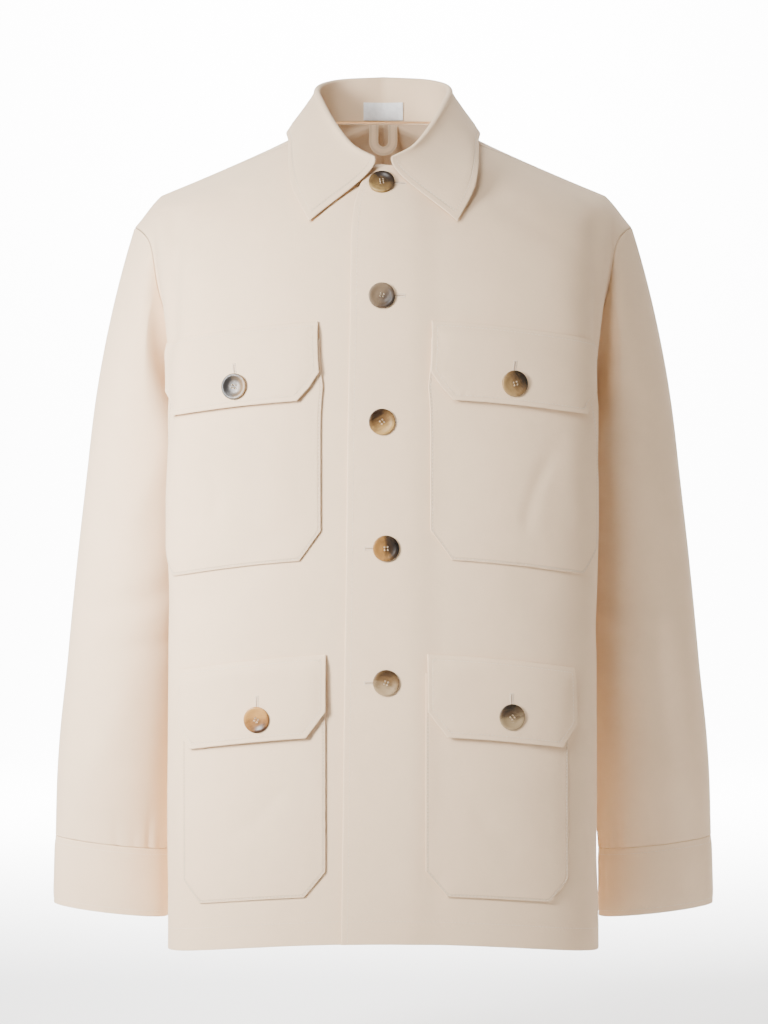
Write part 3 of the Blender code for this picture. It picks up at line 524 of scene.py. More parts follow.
# %% Faces of a shell


def turned(faces):
    """The faces seen from their other side, still starting at their first corners."""
    return faces[:, [0, 3, 2, 1]]


def shell_faces(part, rims, inner):
    """Faces of one block of a shell: outer, inner, and those along its rims."""
    quads = np.stack([part[:-1, :-1], part[:-1, 1:], part[1:, 1:], part[1:, :-1]], axis=-1).reshape(-1, 4)
    faces = [quads, turned(quads + inner)]
    for path in rims:
        a, b = path[:-1], path[1:]
        faces.append(np.stack([b, a, a + inner, b + inner], axis=-1))
    return np.concatenate(faces)


def add_piece(name, points, faces, uv=None, line=None):
    """One closed piece with its faces outwards, riding on the jacket."""
    a, b, c, d = (points[faces[:, k]] for k in range(4))
    volume = np.sum(a * np.cross(b, c)) + np.sum(a * np.cross(c, d))
    if volume < 0.0:
        faces = turned(faces)
    used, places = np.unique(faces, return_inverse=True)
    faces = places.reshape(-1, 4)
    mesh = bpy.data.meshes.new(name)
    mesh.from_pydata(points[used].tolist(), [], faces.tolist())
    if uv is not None:
        layer = mesh.uv_layers.new(name="cloth")
        corners = np.empty(len(mesh.loops), dtype=int)
        mesh.loops.foreach_get("vertex_index", corners)
        layer.data.foreach_set("uv", uv[used][corners].ravel())
    if line is not None:
        mesh.attributes.new("line", "FLOAT", "POINT").data.foreach_set("value", line[used])
    mesh.shade_smooth()
    piece = bpy.data.objects.new(name, mesh)
    bpy.context.scene.collection.objects.link(piece)
    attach(piece, "root")
    return piece


def round_off(distance):
    """How much an edge thins the cloth: 1 at the edge itself and 0 a radius away from it."""
    inward = 1.0 - np.clip(distance / EDGE_RADIUS, 0.0, 1.0)
    return 1.0 - np.sqrt(np.maximum(1.0 - inward**2, 0.0))


NARROWEST_CUT = 0.0101


def declare(piece, cut, nodes):
    """Hides the imported solids that a piece of cloth stands for, and prints the size of its cut."""
    width, length, area = cut
    length = max(length, NARROWEST_CUT)
    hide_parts(*nodes)
    print(piece.name, "cut:", round(width, 3), "by", round(length, 3), "m, area", round(area, 4))
    return piece


def sew(name, cloth, edge, line, node, thickness=WALL):
    """Makes a cut piece of cloth solid. Edge is the distance to its rim, line that to its stitches."""
    thin = (thickness / 2) * round_off(edge)[..., None]
    outer = cloth.points - cloth.normals * thin
    inner = cloth.points - cloth.normals * (thickness - thin)
    rows, columns = cloth.points.shape[:2]
    size = rows * columns
    part = np.arange(size).reshape(rows, columns)
    if cloth.closed:
        part = np.concatenate([part, part[:, :1]], axis=1)
        rims = [part[0], part[-1, ::-1]]
    else:
        rims = [np.concatenate([part[0], part[1:, -1], part[-1, -2::-1], part[-2::-1, 0]])]
    uv = np.stack([cloth.across(), cloth.upward()], axis=-1).reshape(-1, 2)
    points = np.concatenate([outer.reshape(-1, 3), inner.reshape(-1, 3)])
    faces = shell_faces(part, rims, size)
    piece = add_piece(name, points, faces, np.tile(uv, (2, 1)), np.tile(line.ravel(), 2))
    return declare(piece, cloth.size(), [node])


# %% [markdown]
# ## Where the cloth bends
# Gabardine is stiff, so the real jacket shows a few broad, shallow folds: one down the front of
# each armhole, one or two across each elbow, and small gathers where a sleeve is eased into its
# cuff. Each is given as a line across the cloth, with its own width, depth and bow, so
# no two repeat.

# %% Folds, one row each
FOLD_COLUMNS = ("s0", "rise0", "s1", "rise1", "width", "depth", "bow")
FRONT_FOLDS = (
    ("armhole valley", 0.205, 0.690, 0.216, 0.450, 0.0110, -0.0040, 0.004),
    ("chest swell", 0.165, 0.640, 0.180, 0.540, 0.0260, 0.0016, 0.006),
    ("shoulder drag", 0.085, 0.705, 0.180, 0.630, 0.0150, -0.0010, 0.008),
    ("waist", 0.120, 0.325, 0.225, 0.290, 0.0220, -0.0012, 0.008),
    ("side drape", 0.212, 0.400, 0.206, 0.120, 0.0200, 0.0014, 0.004),
    ("side hollow", 0.236, 0.360, 0.232, 0.060, 0.0180, -0.0020, 0.004),
)
RIGHT_FRONT_FOLDS = (
    ("armhole valley", 0.200, 0.700, 0.214, 0.440, 0.0120, -0.0046, 0.006),
    ("chest swell", 0.160, 0.630, 0.176, 0.530, 0.0240, 0.0018, 0.004),
    ("below the seam", 0.120, 0.720, 0.190, 0.655, 0.0120, -0.0010, 0.004),
    ("waist", 0.110, 0.340, 0.220, 0.315, 0.0200, -0.0014, 0.006),
    ("side drape", 0.205, 0.380, 0.212, 0.090, 0.0220, 0.0016, 0.005),
)
BACK_FOLDS = (
    ("blade", 0.090, 0.610, 0.150, 0.470, 0.0280, 0.0022, 0.008),
    ("armhole valley", 0.195, 0.650, 0.200, 0.450, 0.0130, -0.0034, 0.004),
    ("underarm drag", 0.215, 0.470, 0.120, 0.400, 0.0150, -0.0016, 0.010),
    ("waist", 0.070, 0.330, 0.200, 0.300, 0.0200, -0.0016, 0.008),
    ("skirt fold", 0.112, 0.260, 0.100, 0.020, 0.0260, 0.0022, 0.004),
    ("skirt hollow", 0.162, 0.280, 0.156, 0.020, 0.0220, -0.0020, 0.004),
)
SLEEVE_FOLDS = (
    ("front of the head", 0.070, 0.400, 0.100, 0.290, 0.0140, 0.0016, 0.006),
    ("elbow", 0.045, 0.245, 0.145, 0.215, 0.0120, -0.0018, 0.008),
    ("below the elbow", 0.030, 0.200, 0.110, 0.182, 0.0100, -0.0013, 0.006),
    ("inner elbow", 0.320, 0.255, 0.352, 0.215, 0.0100, -0.0018, 0.005),
    ("forearm", 0.085, 0.150, 0.120, 0.060, 0.0150, 0.0012, 0.006),
    ("back of the arm", 0.262, 0.360, 0.286, 0.140, 0.0170, 0.0018, 0.010),
    ("back of the elbow", 0.235, 0.222, 0.325, 0.190, 0.0110, -0.0018, 0.006),
    ("outer arm", 0.185, 0.380, 0.178, 0.130, 0.0200, -0.0010, 0.006),
)
GATHER_COLUMNS = ("s", "length", "width", "depth")
GATHERS = (
    ("inner", 0.014, 0.042, 0.0030, -0.0016),
    ("inner front", 0.030, 0.030, 0.0026, -0.0012),
    ("front", 0.047, 0.052, 0.0032, -0.0019),
    ("front middle", 0.064, 0.026, 0.0024, -0.0010),
    ("front outer", 0.083, 0.036, 0.0028, -0.0013),
    ("outer", 0.128, 0.022, 0.0028, -0.0007),
    ("outer back", 0.214, 0.030, 0.0030, -0.0012),
    ("back", 0.243, 0.048, 0.0034, -0.0018),
    ("back middle", 0.268, 0.036, 0.0030, -0.0014),
    ("back inner", 0.297, 0.040, 0.0032, -0.0015),
    ("inner back", 0.332, 0.028, 0.0028, -0.0012),
)
FOLD_FADE = 0.30
SEAM_FADE = 0.022


def fold_heights(rows, cloth):
    """How high the folds of a table raise every point of a cloth."""
    folds = table(FOLD_COLUMNS, rows)
    across, up = cloth.across(), cloth.upward()
    heights = np.zeros(across.shape)
    shifts = (-SLEEVE_GIRTH, 0.0, SLEEVE_GIRTH) if cloth.closed else (0.0,)
    for s0, rise0, s1, rise1, width, depth, bow in zip(*folds.values()):
        ds, dr = s1 - s0, rise1 - rise0
        length = math.hypot(ds, dr)
        for shift in shifts:
            right, above = across + shift - s0, up - rise0
            t = (right * ds + above * dr) / length**2
            off = (right * dr - above * ds) / length - bow * 4 * t * (1 - t)
            fade = soft_step(t / FOLD_FADE + 0.5) * soft_step((1 - t) / FOLD_FADE + 0.5)
            heights += depth * fade * np.exp(-((off / width) ** 2))
    return heights


def gather_heights(cloth):
    """The small pleats where a sleeve is eased into its cuff; they widen and fade up the sleeve."""
    across, up = cloth.across(), cloth.upward()
    heights = np.zeros(across.shape)
    for s, length, width, depth in zip(*table(GATHER_COLUMNS, GATHERS).values()):
        off = (across - s + SLEEVE_GIRTH / 2) % SLEEVE_GIRTH - SLEEVE_GIRTH / 2
        fade = np.clip(1.0 - up / length, 0.0, 1.0) ** 1.5
        heights += depth * fade * np.exp(-((off / (width * (1.0 + up / length))) ** 2))
    return heights


print("folds:", len(FRONT_FOLDS), "front,", len(BACK_FOLDS), "each side of the back,",
      len(SLEEVE_FOLDS), "sleeve")

# %% [markdown]
# ## The body and the sleeves
# Both fronts, the back and the sleeves meet at seams, so they share the direction in which
# their walls face there. Folds fade out before a seam, which the stitching holds flat.

# %% Fine grids of the panels and the sleeve
HEM_STITCH = 0.0205
LAP_STITCH = 0.0056
RELAX_FROM = 0.43
RELAX_TIMES = 40
NECK_HOLD = 0.045


def panel_cloth(rows, lap=None):
    """The left half of a panel: a front if it has a lap, else the back."""
    points, starts, ends = [], [], []
    for rise in PANEL_RISES:
        line, run = front_row(rise, lap(rise)) if lap else (row_curve(rows, rise), None)
        run = run_lengths(line) if run is None else run
        start, end = run[0], run[-1] - SEAM_GAP / 2
        points.append(points_at(line, run, start + (end - start) * PANEL_PLACES))
        starts.append(start)
        ends.append(end)
    points = np.array(points)
    normals = grid_normals(points) * (1.0 if lap else -1.0)
    return Cloth(points, normals, PANEL_PLACES, np.array(starts), np.array(ends), PANEL_RISES)


def sleeve_ring(z, fractions):
    """One round of a sleeve, starting at the underarm and going by way of the front."""
    value = {name: float(smooth(SLEEVE["z"], column, z)) for name, column in SLEEVE.items()}
    lean = np.array([math.cos(SLEEVE_LEAN), 0.0, math.sin(SLEEVE_LEAN)])
    middle = np.array([value["outer_x"] - value["half_width"] * lean[0], value["centre_y"], z])
    angle = (math.pi + 2 * math.pi * np.asarray(fractions))[:, None]
    return (middle + value["half_width"] * np.cos(angle) * lean
            + value["half_depth"] * np.sin(angle) * np.array([0.0, 1.0, 0.0]))


def sleeve_head_aims(fractions):
    """The way each thread of the sleeve leaves the armhole."""
    turn = 2 * math.pi * np.asarray(fractions)
    top = np.maximum(-np.cos(turn), 0.0)[:, None]
    under = np.maximum(np.cos(turn), 0.0)[:, None]
    middle = np.clip(1.0 - top - under, 0.0, 1.0)
    facing = np.stack([np.ones_like(turn), -np.sign(np.sin(turn)), np.ones_like(turn)], axis=1)
    aims = (np.array(SLEEVE_HEAD_TOP) * top + np.array(SLEEVE_HEAD_UNDER) * under
            + np.array(SLEEVE_HEAD_FRONT) * facing * middle)
    return unit(aims)


def tube_cloth(rounds):
    """A closed tube of cloth from its rounds, given from the bottom up."""
    points = np.array(rounds)
    normals = grid_normals(points, closed=True)
    normals = normals * np.sign(-normals[0, 0, 0])
    middle = points.mean(axis=1)
    up = run_lengths(middle)
    edge = np.zeros(len(points))
    return Cloth(points, normals, FRACTIONS, edge, edge + SLEEVE_GIRTH, up, closed=True)


def sleeve_cloth():
    """The left sleeve, from the cuff seam up to the armhole."""
    aims = sleeve_head_aims(FRACTIONS)
    start = armhole_points(FRACTIONS) + aims * SEAM_GAP
    end = sleeve_ring(SLEEVE_HEAD_Z, FRACTIONS)
    reach = np.linalg.norm(end - start, axis=1, keepdims=True)
    down = np.array([math.sin(SLEEVE_LEAN), 0.0, -math.cos(SLEEVE_LEAN)])
    rounds = []
    for t in crowded(HEAD_LENGTH, high=False) / HEAD_LENGTH:
        rounds.append(start * (2 * t**3 - 3 * t**2 + 1) + aims * reach * (t**3 - 2 * t**2 + t)
                      + end * (3 * t**2 - 2 * t**3) + down * reach * (t**3 - t**2))
    arm = SLEEVE_HEAD_Z - CUFF_SEAM_Z - SEAM_GAP
    for drop in crowded(arm, low=False)[1:]:
        rounds.append(sleeve_ring(SLEEVE_HEAD_Z - drop, FRACTIONS))
    return tube_cloth(rounds[::-1])


def below_armhole(cloth):
    """The distance of every point of the sleeve from the armhole, along its own thread."""
    steps = np.linalg.norm(np.diff(cloth.points[::-1], axis=0), axis=-1)
    down = np.concatenate([np.zeros((1, steps.shape[1])), np.cumsum(steps, axis=0)])
    return down[::-1]


def seam_distance(cloth, open_start):
    """The distance to the sewn edges: the top, the side, and the start above the neck."""
    far = cloth.ends[:, None] - cloth.across()
    top = np.broadcast_to((TOP_RISE - cloth.up)[:, None], far.shape)
    start = np.where(cloth.upward() > open_start, cloth.across() - cloth.starts[:, None], FAR)
    return np.minimum(np.minimum(far, top), start)


def relax(points, weights, times):
    """Evens out small kinks: each point moves towards the middle of those above and below it."""
    points = points.copy()
    for _ in range(times):
        middle = (points[:-2] + points[2:]) / 2
        points[1:-1] += (middle - points[1:-1]) * 0.5 * weights[1:-1, :, None]
    return points


def panel_with_folds(rows, folds, neck_rise, lap=None):
    """A panel with its folds, which fade out towards its seams."""
    cloth = panel_cloth(rows, lap)
    fade = soft_step(seam_distance(cloth, neck_rise) / SEAM_FADE)
    above = soft_step((cloth.upward() - RELAX_FROM) / (UNDERARM_RISE - RELAX_FROM))
    from_neck = np.hypot(np.maximum(cloth.across(), 0.0), cloth.upward() - neck_rise)
    above = above * soft_step((from_neck - NECK_HOLD) / NECK_HOLD)
    cloth.points = relax(cloth.points, fade * above, RELAX_TIMES)
    cloth.raise_by(fold_heights(folds, cloth) * fade)
    return cloth


upper = panel_with_folds(FRONT, FRONT_FOLDS, NECK_RISE_FRONT, lap_at)
lower = panel_with_folds(FRONT, RIGHT_FRONT_FOLDS, NECK_RISE_FRONT, under_lap_at)
back = panel_with_folds(BACK, BACK_FOLDS, NECK_RISE_BACK)
sleeve = sleeve_cloth()
sleeve_edge = np.minimum(below_armhole(sleeve), sleeve.upward())
head_fade = soft_step(below_armhole(sleeve) / SEAM_FADE)
sleeve.raise_by(head_fade * (fold_heights(SLEEVE_FOLDS, sleeve) + gather_heights(sleeve)))
print("grid of a front:", upper.points.shape, "of a sleeve:", sleeve.points.shape)

# %% Shared directions along the seams
SEAM_BLEND = 0.012


def seam_directions(panel, head, fingers):
    """The middle direction of two pieces along the armhole, turned down near the underarm."""
    middle = unit(panel.normals[-len(fingers):, -1] + head.normals[-1, fingers])
    down = np.interp(SHARES, UNDERARM["share"], UNDERARM["down"])[:, None]
    return unit(middle * (1.0 - down) - np.array([0.0, 0.0, 1.0]) * down)


def blend_normals(panel, at_side, at_top):
    """Turns a panel's directions towards those of its side and top edges, close to them."""
    far = panel.ends[:, None] - panel.across()
    side_share = 1.0 - soft_step(far / SEAM_BLEND)[..., None]
    top_share = 1.0 - soft_step((TOP_RISE - panel.upward()) / SEAM_BLEND)[..., None]
    normals = panel.normals * (1 - top_share) + at_top[None] * top_share
    panel.normals = unit(normals * (1 - side_share) + at_side[:, None] * side_share)


def match_normals():
    """Gives pieces that meet at a seam the same direction there, so that their walls match."""
    by_front = np.arange(SHOULDER_STEPS + 1)
    by_back = -by_front
    seam = seam_directions(upper, sleeve, by_front)
    rear = seam_directions(back, sleeve, by_back)
    seam[-1] = rear[-1] = unit(seam[-1] + rear[-1])
    top = unit(upper.normals[-1] + back.normals[-1])
    side = unit(upper.normals[:-1 - SHOULDER_STEPS, -1] + back.normals[:-1 - SHOULDER_STEPS, -1])
    for panel, edge in ((upper, seam), (lower, seam), (back, rear)):
        blend_normals(panel, np.concatenate([side, edge]), top)
    at_edge = sleeve.normals[-1].copy()
    at_edge[by_front] = seam
    at_edge[by_back] = rear
    share = 1.0 - soft_step(below_armhole(sleeve) / SEAM_BLEND)[..., None]
    sleeve.normals = unit(sleeve.normals * (1 - share) + at_edge[None] * share)


match_normals()
for panel in (upper, lower, back):
    panel.points[-1] += unit(panel.points[-2] - panel.points[-1]) * SEAM_GAP / 2
upper.points = upper.points + upper.normals * lap_lift(upper.points[..., 0])[..., None]
near_neck = soft_step((PANEL_RISES - NECK_TUCK_RISE) / (NECK_RISE_FRONT - NECK_TUCK_RISE))
near_centre = 1.0 - soft_step(lower.points[..., 0] / NECK_TUCK_WIDTH)
lower.points = lower.points - lower.normals * (NECK_TUCK * near_neck[:, None] * near_centre)[..., None]
print("seams matched at", SHOULDER_STEPS + 1, "points of the armhole")

# %% [markdown]
# Panels are cut flat and get their form from their seams. The back is one cut in two mirrored
# halves that part at the neck, so both halves go into one mesh and share the centre line.

# %% Sew the fronts, the back and the sleeves


def sew_front(name, cloth):
    """One front, with its hem and, on the upper one, its lap stitched down."""
    start = cloth.across() - cloth.starts[:, None]
    edge = np.minimum(seam_distance(cloth, NECK_RISE_FRONT), np.minimum(start, cloth.upward()))
    line = np.minimum(np.abs(cloth.upward() - HEM_STITCH), np.abs(start - LAP_STITCH))
    line = np.minimum(line, seam_distance(cloth, NECK_RISE_FRONT))
    return sew("cloth_" + name, cloth, edge, line, name)


def sew_back(cloth):
    """The back in one wall, with its two shoulder parts left open between them at the neck."""
    rows, columns = cloth.points.shape[:2]
    size = rows * columns
    neck_row = int(np.argmin(np.abs(cloth.up - NECK_RISE_BACK)))
    left = np.arange(size).reshape(rows, columns)
    right = left + size
    right[:neck_row + 1, 0] = left[:neck_row + 1, 0]
    edge = np.minimum(seam_distance(cloth, NECK_RISE_BACK + EDGE_RADIUS), cloth.upward())
    thin = (WALL / 2) * round_off(edge)[..., None]
    outer = cloth.points - cloth.normals * thin
    inner = cloth.points - cloth.normals * (WALL - thin)
    sides = [outer, outer * FLIP, inner, inner * FLIP]
    points = np.concatenate([side.reshape(-1, 3) for side in sides])
    faces = []
    for part in (left, right):
        rim = np.concatenate([part[0], part[1:, -1], part[-1, -2::-1], part[neck_row:-1, 0][::-1]])
        half = shell_faces(part, [rim], 2 * size)
        faces.append(half if part is left else turned(half))
    across = cloth.across().ravel()
    up = cloth.upward().ravel()
    uv = np.concatenate([np.stack([across, up], axis=1), np.stack([-across, up], axis=1)])
    line = np.minimum(np.abs(up - HEM_STITCH), seam_distance(cloth, NECK_RISE_BACK).ravel())
    piece = add_piece("cloth_back", points, np.concatenate(faces), np.tile(uv, (2, 1)), np.tile(line, 4))
    width, length, area = cloth.size()
    return declare(piece, (2 * width, length, 2 * area), ["back"])


cloths = {}
cloths["front_left"] = sew_front("front_left", upper)
cloths["front_right"] = sew_front("front_right", lower.mirrored())
cloths["back"] = sew_back(back)
no_line = np.full(sleeve.points.shape[:2], FAR)
for name, arm in (("sleeve_left", sleeve), ("sleeve_right", sleeve.mirrored())):
    cloths[name] = sew("cloth_" + name, arm, sleeve_edge, no_line, name)

# %% [markdown]
# ## Cuffs and collar
# Each cuff is a closed band of doubled cloth, stitched along both edges. The collar is one band
# that stands up from the neck seam, rolls over a soft fold and falls outside. Its fold must be
# round, so that stretch gets its own close rows.

# %% Cuffs
CUFF_STITCH = 0.0055
CUFF_PUFF = 0.0007


def cuff_cloth():
    """The left cuff, from its lower edge up to the sleeve."""
    length = CUFF_SEAM_Z - CUFF_END_Z
    rounds = [sleeve_ring(CUFF_END_Z + rise, FRACTIONS) for rise in crowded(length)]
    return tube_cloth(rounds)


cuff = cuff_cloth()
cuff_length = cuff.up[-1]
cuff_edge = np.minimum(cuff.upward(), cuff_length - cuff.upward())
inside_band = soft_step((cuff_edge - CUFF_STITCH) / 0.004)
ripple = 0.0004 * np.sin(cuff.across() * 74.0) * np.sin(cuff.across() * 31.0 + 1.0)
cuff.raise_by(CUFF_PUFF * inside_band + ripple * soft_step(cuff_edge / 0.006))
cuff_line = np.abs(cuff_edge - CUFF_STITCH)
for name, band in (("cuff_left", cuff), ("cuff_right", cuff.mirrored())):
    cloths[name] = sew("cloth_" + name, band, cuff_edge, cuff_line, name)

# %% Collar
COLLAR_STITCH = 0.0058
COLLAR_PUFF = 0.0005
COLLAR_STEPS = 100
FOLD_ANGLES = np.linspace(0.0, math.pi, 13)


def collar_section(angle, lap_rise=0.0):
    """The collar from its seam, up inside, over the fold and down to the outer edge."""
    value = {name: float(smooth(COLLAR["angle"], column, angle)) for name, column in COLLAR.items()}
    seam = neckline(angle)
    seam[2] += COLLAR_BASE_LIFT
    if angle < 90:
        seam[2] += lap_rise * float(lap_lift(seam[0]))
    fold = np.array([value["fold_x"], value["fold_y"], value["fold_z"]])
    edge = np.array([value["edge_x"], value["edge_y"], value["edge_z"]])
    turn = math.radians(angle)
    outward = unit([NECK_FRONT_REACH * math.sin(turn), -NECK_HALF_WIDTH * math.cos(turn), 0.0])
    centre = fold - np.array([0.0, 0.0, COLLAR_FOLD_RADIUS])
    inner = centre - outward * COLLAR_FOLD_RADIUS
    reach = np.linalg.norm(inner - seam)
    up = np.array([0.0, 0.0, 1.0])
    stand_at = np.concatenate([np.array(NEAR_EDGE) / reach, np.linspace(0.12, 0.92, 8)])
    stand = seam + (inner - seam) * np.concatenate([[0.0], stand_at])[:, None]
    over = np.array([centre + COLLAR_FOLD_RADIUS * (-outward * math.cos(a) + up * math.sin(a))
                     for a in FOLD_ANGLES])
    outer = over[-1]
    reach = np.linalg.norm(edge - outer)
    leave = unit(outward * 0.15 - up) * reach * 0.5
    arrive = unit(edge - outer) * reach
    fall_at = np.concatenate([np.linspace(0.05, 0.9, 18), 1.0 - np.array(NEAR_EDGE)[::-1] / reach, [1.0]])
    fall = hermite(outer, leave, edge, arrive, fall_at)
    return np.vstack([stand, over, fall])


def collar_cloth():
    """The whole collar, from one front end round the neck to the other."""
    half_span = 180.0 - COLLAR_START_ANGLE
    near = np.array([0.0, 0.15, 0.4, 0.8, 1.6, 2.6])
    even = np.linspace(4.2, half_span, COLLAR_STEPS // 2 - 5)
    angles = COLLAR_START_ANGLE + np.concatenate([near, even])
    left = np.array([collar_section(angle, COLLAR_LAP_RISE) for angle in angles])
    right = np.array([collar_section(angle) for angle in angles[-2::-1]]) * (-1.0, 1.0, 1.0)
    points = np.concatenate([left, right])
    normals = grid_normals(points)
    if normals[len(points) // 2, 0][1] > 0.0:
        normals = -normals
    runs = np.array([run_lengths(row) for row in points])
    places = runs[len(points) // 2] / runs[len(points) // 2, -1]
    rim = run_lengths(points[:, -1])
    cloth = Cloth(points, normals, places, np.zeros(len(points)), runs[:, -1], rim)
    return cloth, runs


collar, collar_runs = collar_cloth()
front_end = np.minimum(np.linalg.norm(collar.points - collar.points[:1], axis=-1),
                       np.linalg.norm(collar.points - collar.points[-1:], axis=-1))
outer_edge = collar_runs[:, -1:] - collar_runs
collar_edge = np.minimum(np.minimum(front_end, outer_edge), collar_runs)
fall_start = len(NEAR_EDGE) + 9 + len(FOLD_ANGLES)
on_fall = np.arange(collar.points.shape[1]) >= fall_start - 3
leaf_edge = np.where(on_fall, np.minimum(front_end, outer_edge), FAR)
collar_line = np.abs(leaf_edge - COLLAR_STITCH)
puff = np.where(on_fall, soft_step((leaf_edge - COLLAR_STITCH) / 0.004), 0.0)
puff *= soft_step((outer_edge[:, fall_start][:, None] - outer_edge) / 0.012)
wave = 0.0008 * np.sin(collar.upward() * 21.0 + 0.6) * soft_step(1.0 - outer_edge / 0.03)
collar.raise_by(COLLAR_PUFF * puff + np.where(on_fall, wave, 0.0) * soft_step(front_end / 0.02))
cloths["collar"] = sew("cloth_collar", collar, collar_edge, collar_line, "collar")

# %% [markdown]
# ## Patch pockets and flaps
# A patch pocket is a flat cut laid on the front and stitched round three sides, its lower
# corners cut off at a slant. A flap hangs over its mouth: it is sewn down along its top edge and
# lifts a little towards its lower one. Both follow the curve of the front below them.

# %% Patches
POCKET_STITCH = 0.0019
FLAP_STITCH = 0.0047
FLAP_PUFF = 0.0005
PATCHES = {name: dict(zip(PATCH_COLUMNS, values)) for name, *values in POCKETS + FLAPS}


def patch_outline(size):
    """The six corners of a patch, from its top inner one, going outwards and round."""
    inner, top, bottom = size["inner_s"], size["top_rise"], size["bottom_rise"]
    outer = inner + size["width"]
    return np.array([
        (inner, top), (outer, top), (outer, bottom + size["corner_rise"]), (outer - size["corner_s"], bottom),
        (inner + size["corner_s"], bottom), (inner, bottom + size["corner_rise"]),
    ])


def inset_outline(corners, insets):
    """The corners of an outline whose sides are moved inwards, each by its own inset."""
    count = len(corners)
    middle = corners.mean(axis=0)
    lines = []
    for k in range(count):
        a, b = corners[k], corners[(k + 1) % count]
        normal = unit(np.array([-(b - a)[1], (b - a)[0]]))
        normal = normal * np.sign(np.dot(middle - a, normal))
        lines.append((normal, np.dot(normal, a) + insets[k]))
    moved = []
    for k in range(count):
        (n1, c1), (n2, c2) = lines[k - 1], lines[k]
        moved.append(np.linalg.solve(np.array([n1, n2]), np.array([c1, c2])))
    return np.array(moved)


def patch_edge(size, s, rise, skip_top=False):
    """The distance of each point from the outline, inwards."""
    corners = patch_outline(size)
    middle = corners.mean(axis=0)
    found = np.full(np.shape(s), FAR)
    for k in range(len(corners)):
        if skip_top and k == 0:
            continue
        a, b = corners[k], corners[(k + 1) % len(corners)]
        normal = unit(np.array([-(b - a)[1], (b - a)[0]]))
        normal = normal * np.sign(np.dot(middle - a, normal))
        found = np.minimum(found, normal[0] * (s - a[0]) + normal[1] * (rise - a[1]))
    return np.maximum(found, 0.0)


def flap_offset(down):
    """How far the underside of a flap stands off the front, by its share of the way down."""
    full = WALL + 2 * PATCH_GAP + FLAP_LIFT * down**2
    return SEAM_GAP + (full - SEAM_GAP) * np.minimum(down / FLAP_SEAM_SHARE, 1.0)


def patch_cloth(size, under, offset):
    """A patch on a front, raised off it by the offset."""
    top, bottom = size["top_rise"], size["bottom_rise"]
    corner = bottom + size["corner_rise"]
    slant = bottom + crowded(corner - bottom, step=0.003)
    above = corner + crowded(top - corner, step=0.005)[1:]
    up = np.concatenate([slant, above])
    cut = size["corner_s"] * np.maximum(0.0, 1.0 - (up - bottom) / size["corner_rise"])
    starts = size["inner_s"] + cut
    ends = size["inner_s"] + size["width"] - cut
    places = crowded(size["width"]) / size["width"]
    s = starts[:, None] + (ends - starts)[:, None] * places
    rise = np.broadcast_to(up[:, None], s.shape)
    points, normals = under.at(s, rise)
    down = (top - rise) / (top - bottom)
    points = points + normals * (offset(down) + WALL)[..., None]
    return Cloth(points, grid_normals(points), places, starts, ends, up)


PATCH_WAVES = {
    "pocket_upper_left": (0.0007, 38.0, 22.0, 0.4), "pocket_upper_right": (0.0007, 33.0, 27.0, 1.7),
    "pocket_lower_left": (0.0006, 41.0, 24.0, 2.8), "pocket_lower_right": (0.0006, 36.0, 29.0, 0.9),
    "flap_upper_left": (0.0008, 35.0, 60.0, 2.1), "flap_upper_right": (0.0007, 44.0, 48.0, 0.2),
    "flap_lower_left": (0.0007, 48.0, 52.0, 1.2), "flap_lower_right": (0.0007, 40.0, 57.0, 3.0),
}
POCKET_FOLDS = {
    "pocket_upper_left": (
        ("slant crease", 0.150, 0.438, 0.126, 0.372, 0.0050, -0.0014, 0.004),
        ("edge swell", 0.172, 0.460, 0.178, 0.380, 0.0140, 0.0012, 0.002),
    ),
    "pocket_upper_right": (
        ("outer crease", 0.158, 0.436, 0.150, 0.385, 0.0060, -0.0012, 0.004),
        ("inner swell", 0.090, 0.450, 0.094, 0.370, 0.0180, 0.0010, 0.003),
    ),
    "pocket_lower_left": (("low crease", 0.080, 0.120, 0.120, 0.088, 0.0080, -0.0009, 0.004),),
    "pocket_lower_right": (("low crease", 0.090, 0.140, 0.135, 0.100, 0.0080, -0.0010, 0.004),),
}
patches = {}
for name, size in PATCHES.items():
    is_left, is_flap = name.endswith("left"), name.startswith("flap")
    cloth = patch_cloth(size, upper if is_left else lower,
                        flap_offset if is_flap else lambda down: np.full_like(down, PATCH_GAP))
    s, rise = cloth.across(), cloth.upward()
    edge = patch_edge(size, s, rise)
    high, s_turns, rise_turns, phase = PATCH_WAVES[name]
    swell = high * np.sin(s * s_turns + phase) * np.cos(rise * rise_turns + phase)
    inset = FLAP_STITCH if is_flap else POCKET_STITCH
    heights = (swell + high * 0.6) * soft_step((edge - inset) / 0.012)
    if is_flap:
        heights += FLAP_PUFF * soft_step((edge - inset) / 0.003)
    else:
        heights += fold_heights(POCKET_FOLDS[name], cloth) * soft_step((edge - inset) / 0.010)
    cloth.raise_by(np.maximum(heights, -0.0006))
    sewn = np.abs(patch_edge(size, s, rise, skip_top=not is_flap) - inset)
    worn = cloth if is_left else cloth.mirrored()
    patches[name] = cloth
    cloths[name] = sew("cloth_" + name, worn, edge, sewn, name)

# %% [markdown]
# ## Label and hanger loop
# The label is a folded strip of satin, blank here, and the loop is a narrow tube of the jacket's
# own cloth pressed flat. Both are thinner than the gabardine.

# %% Label
LABEL_TURN = 0.0012


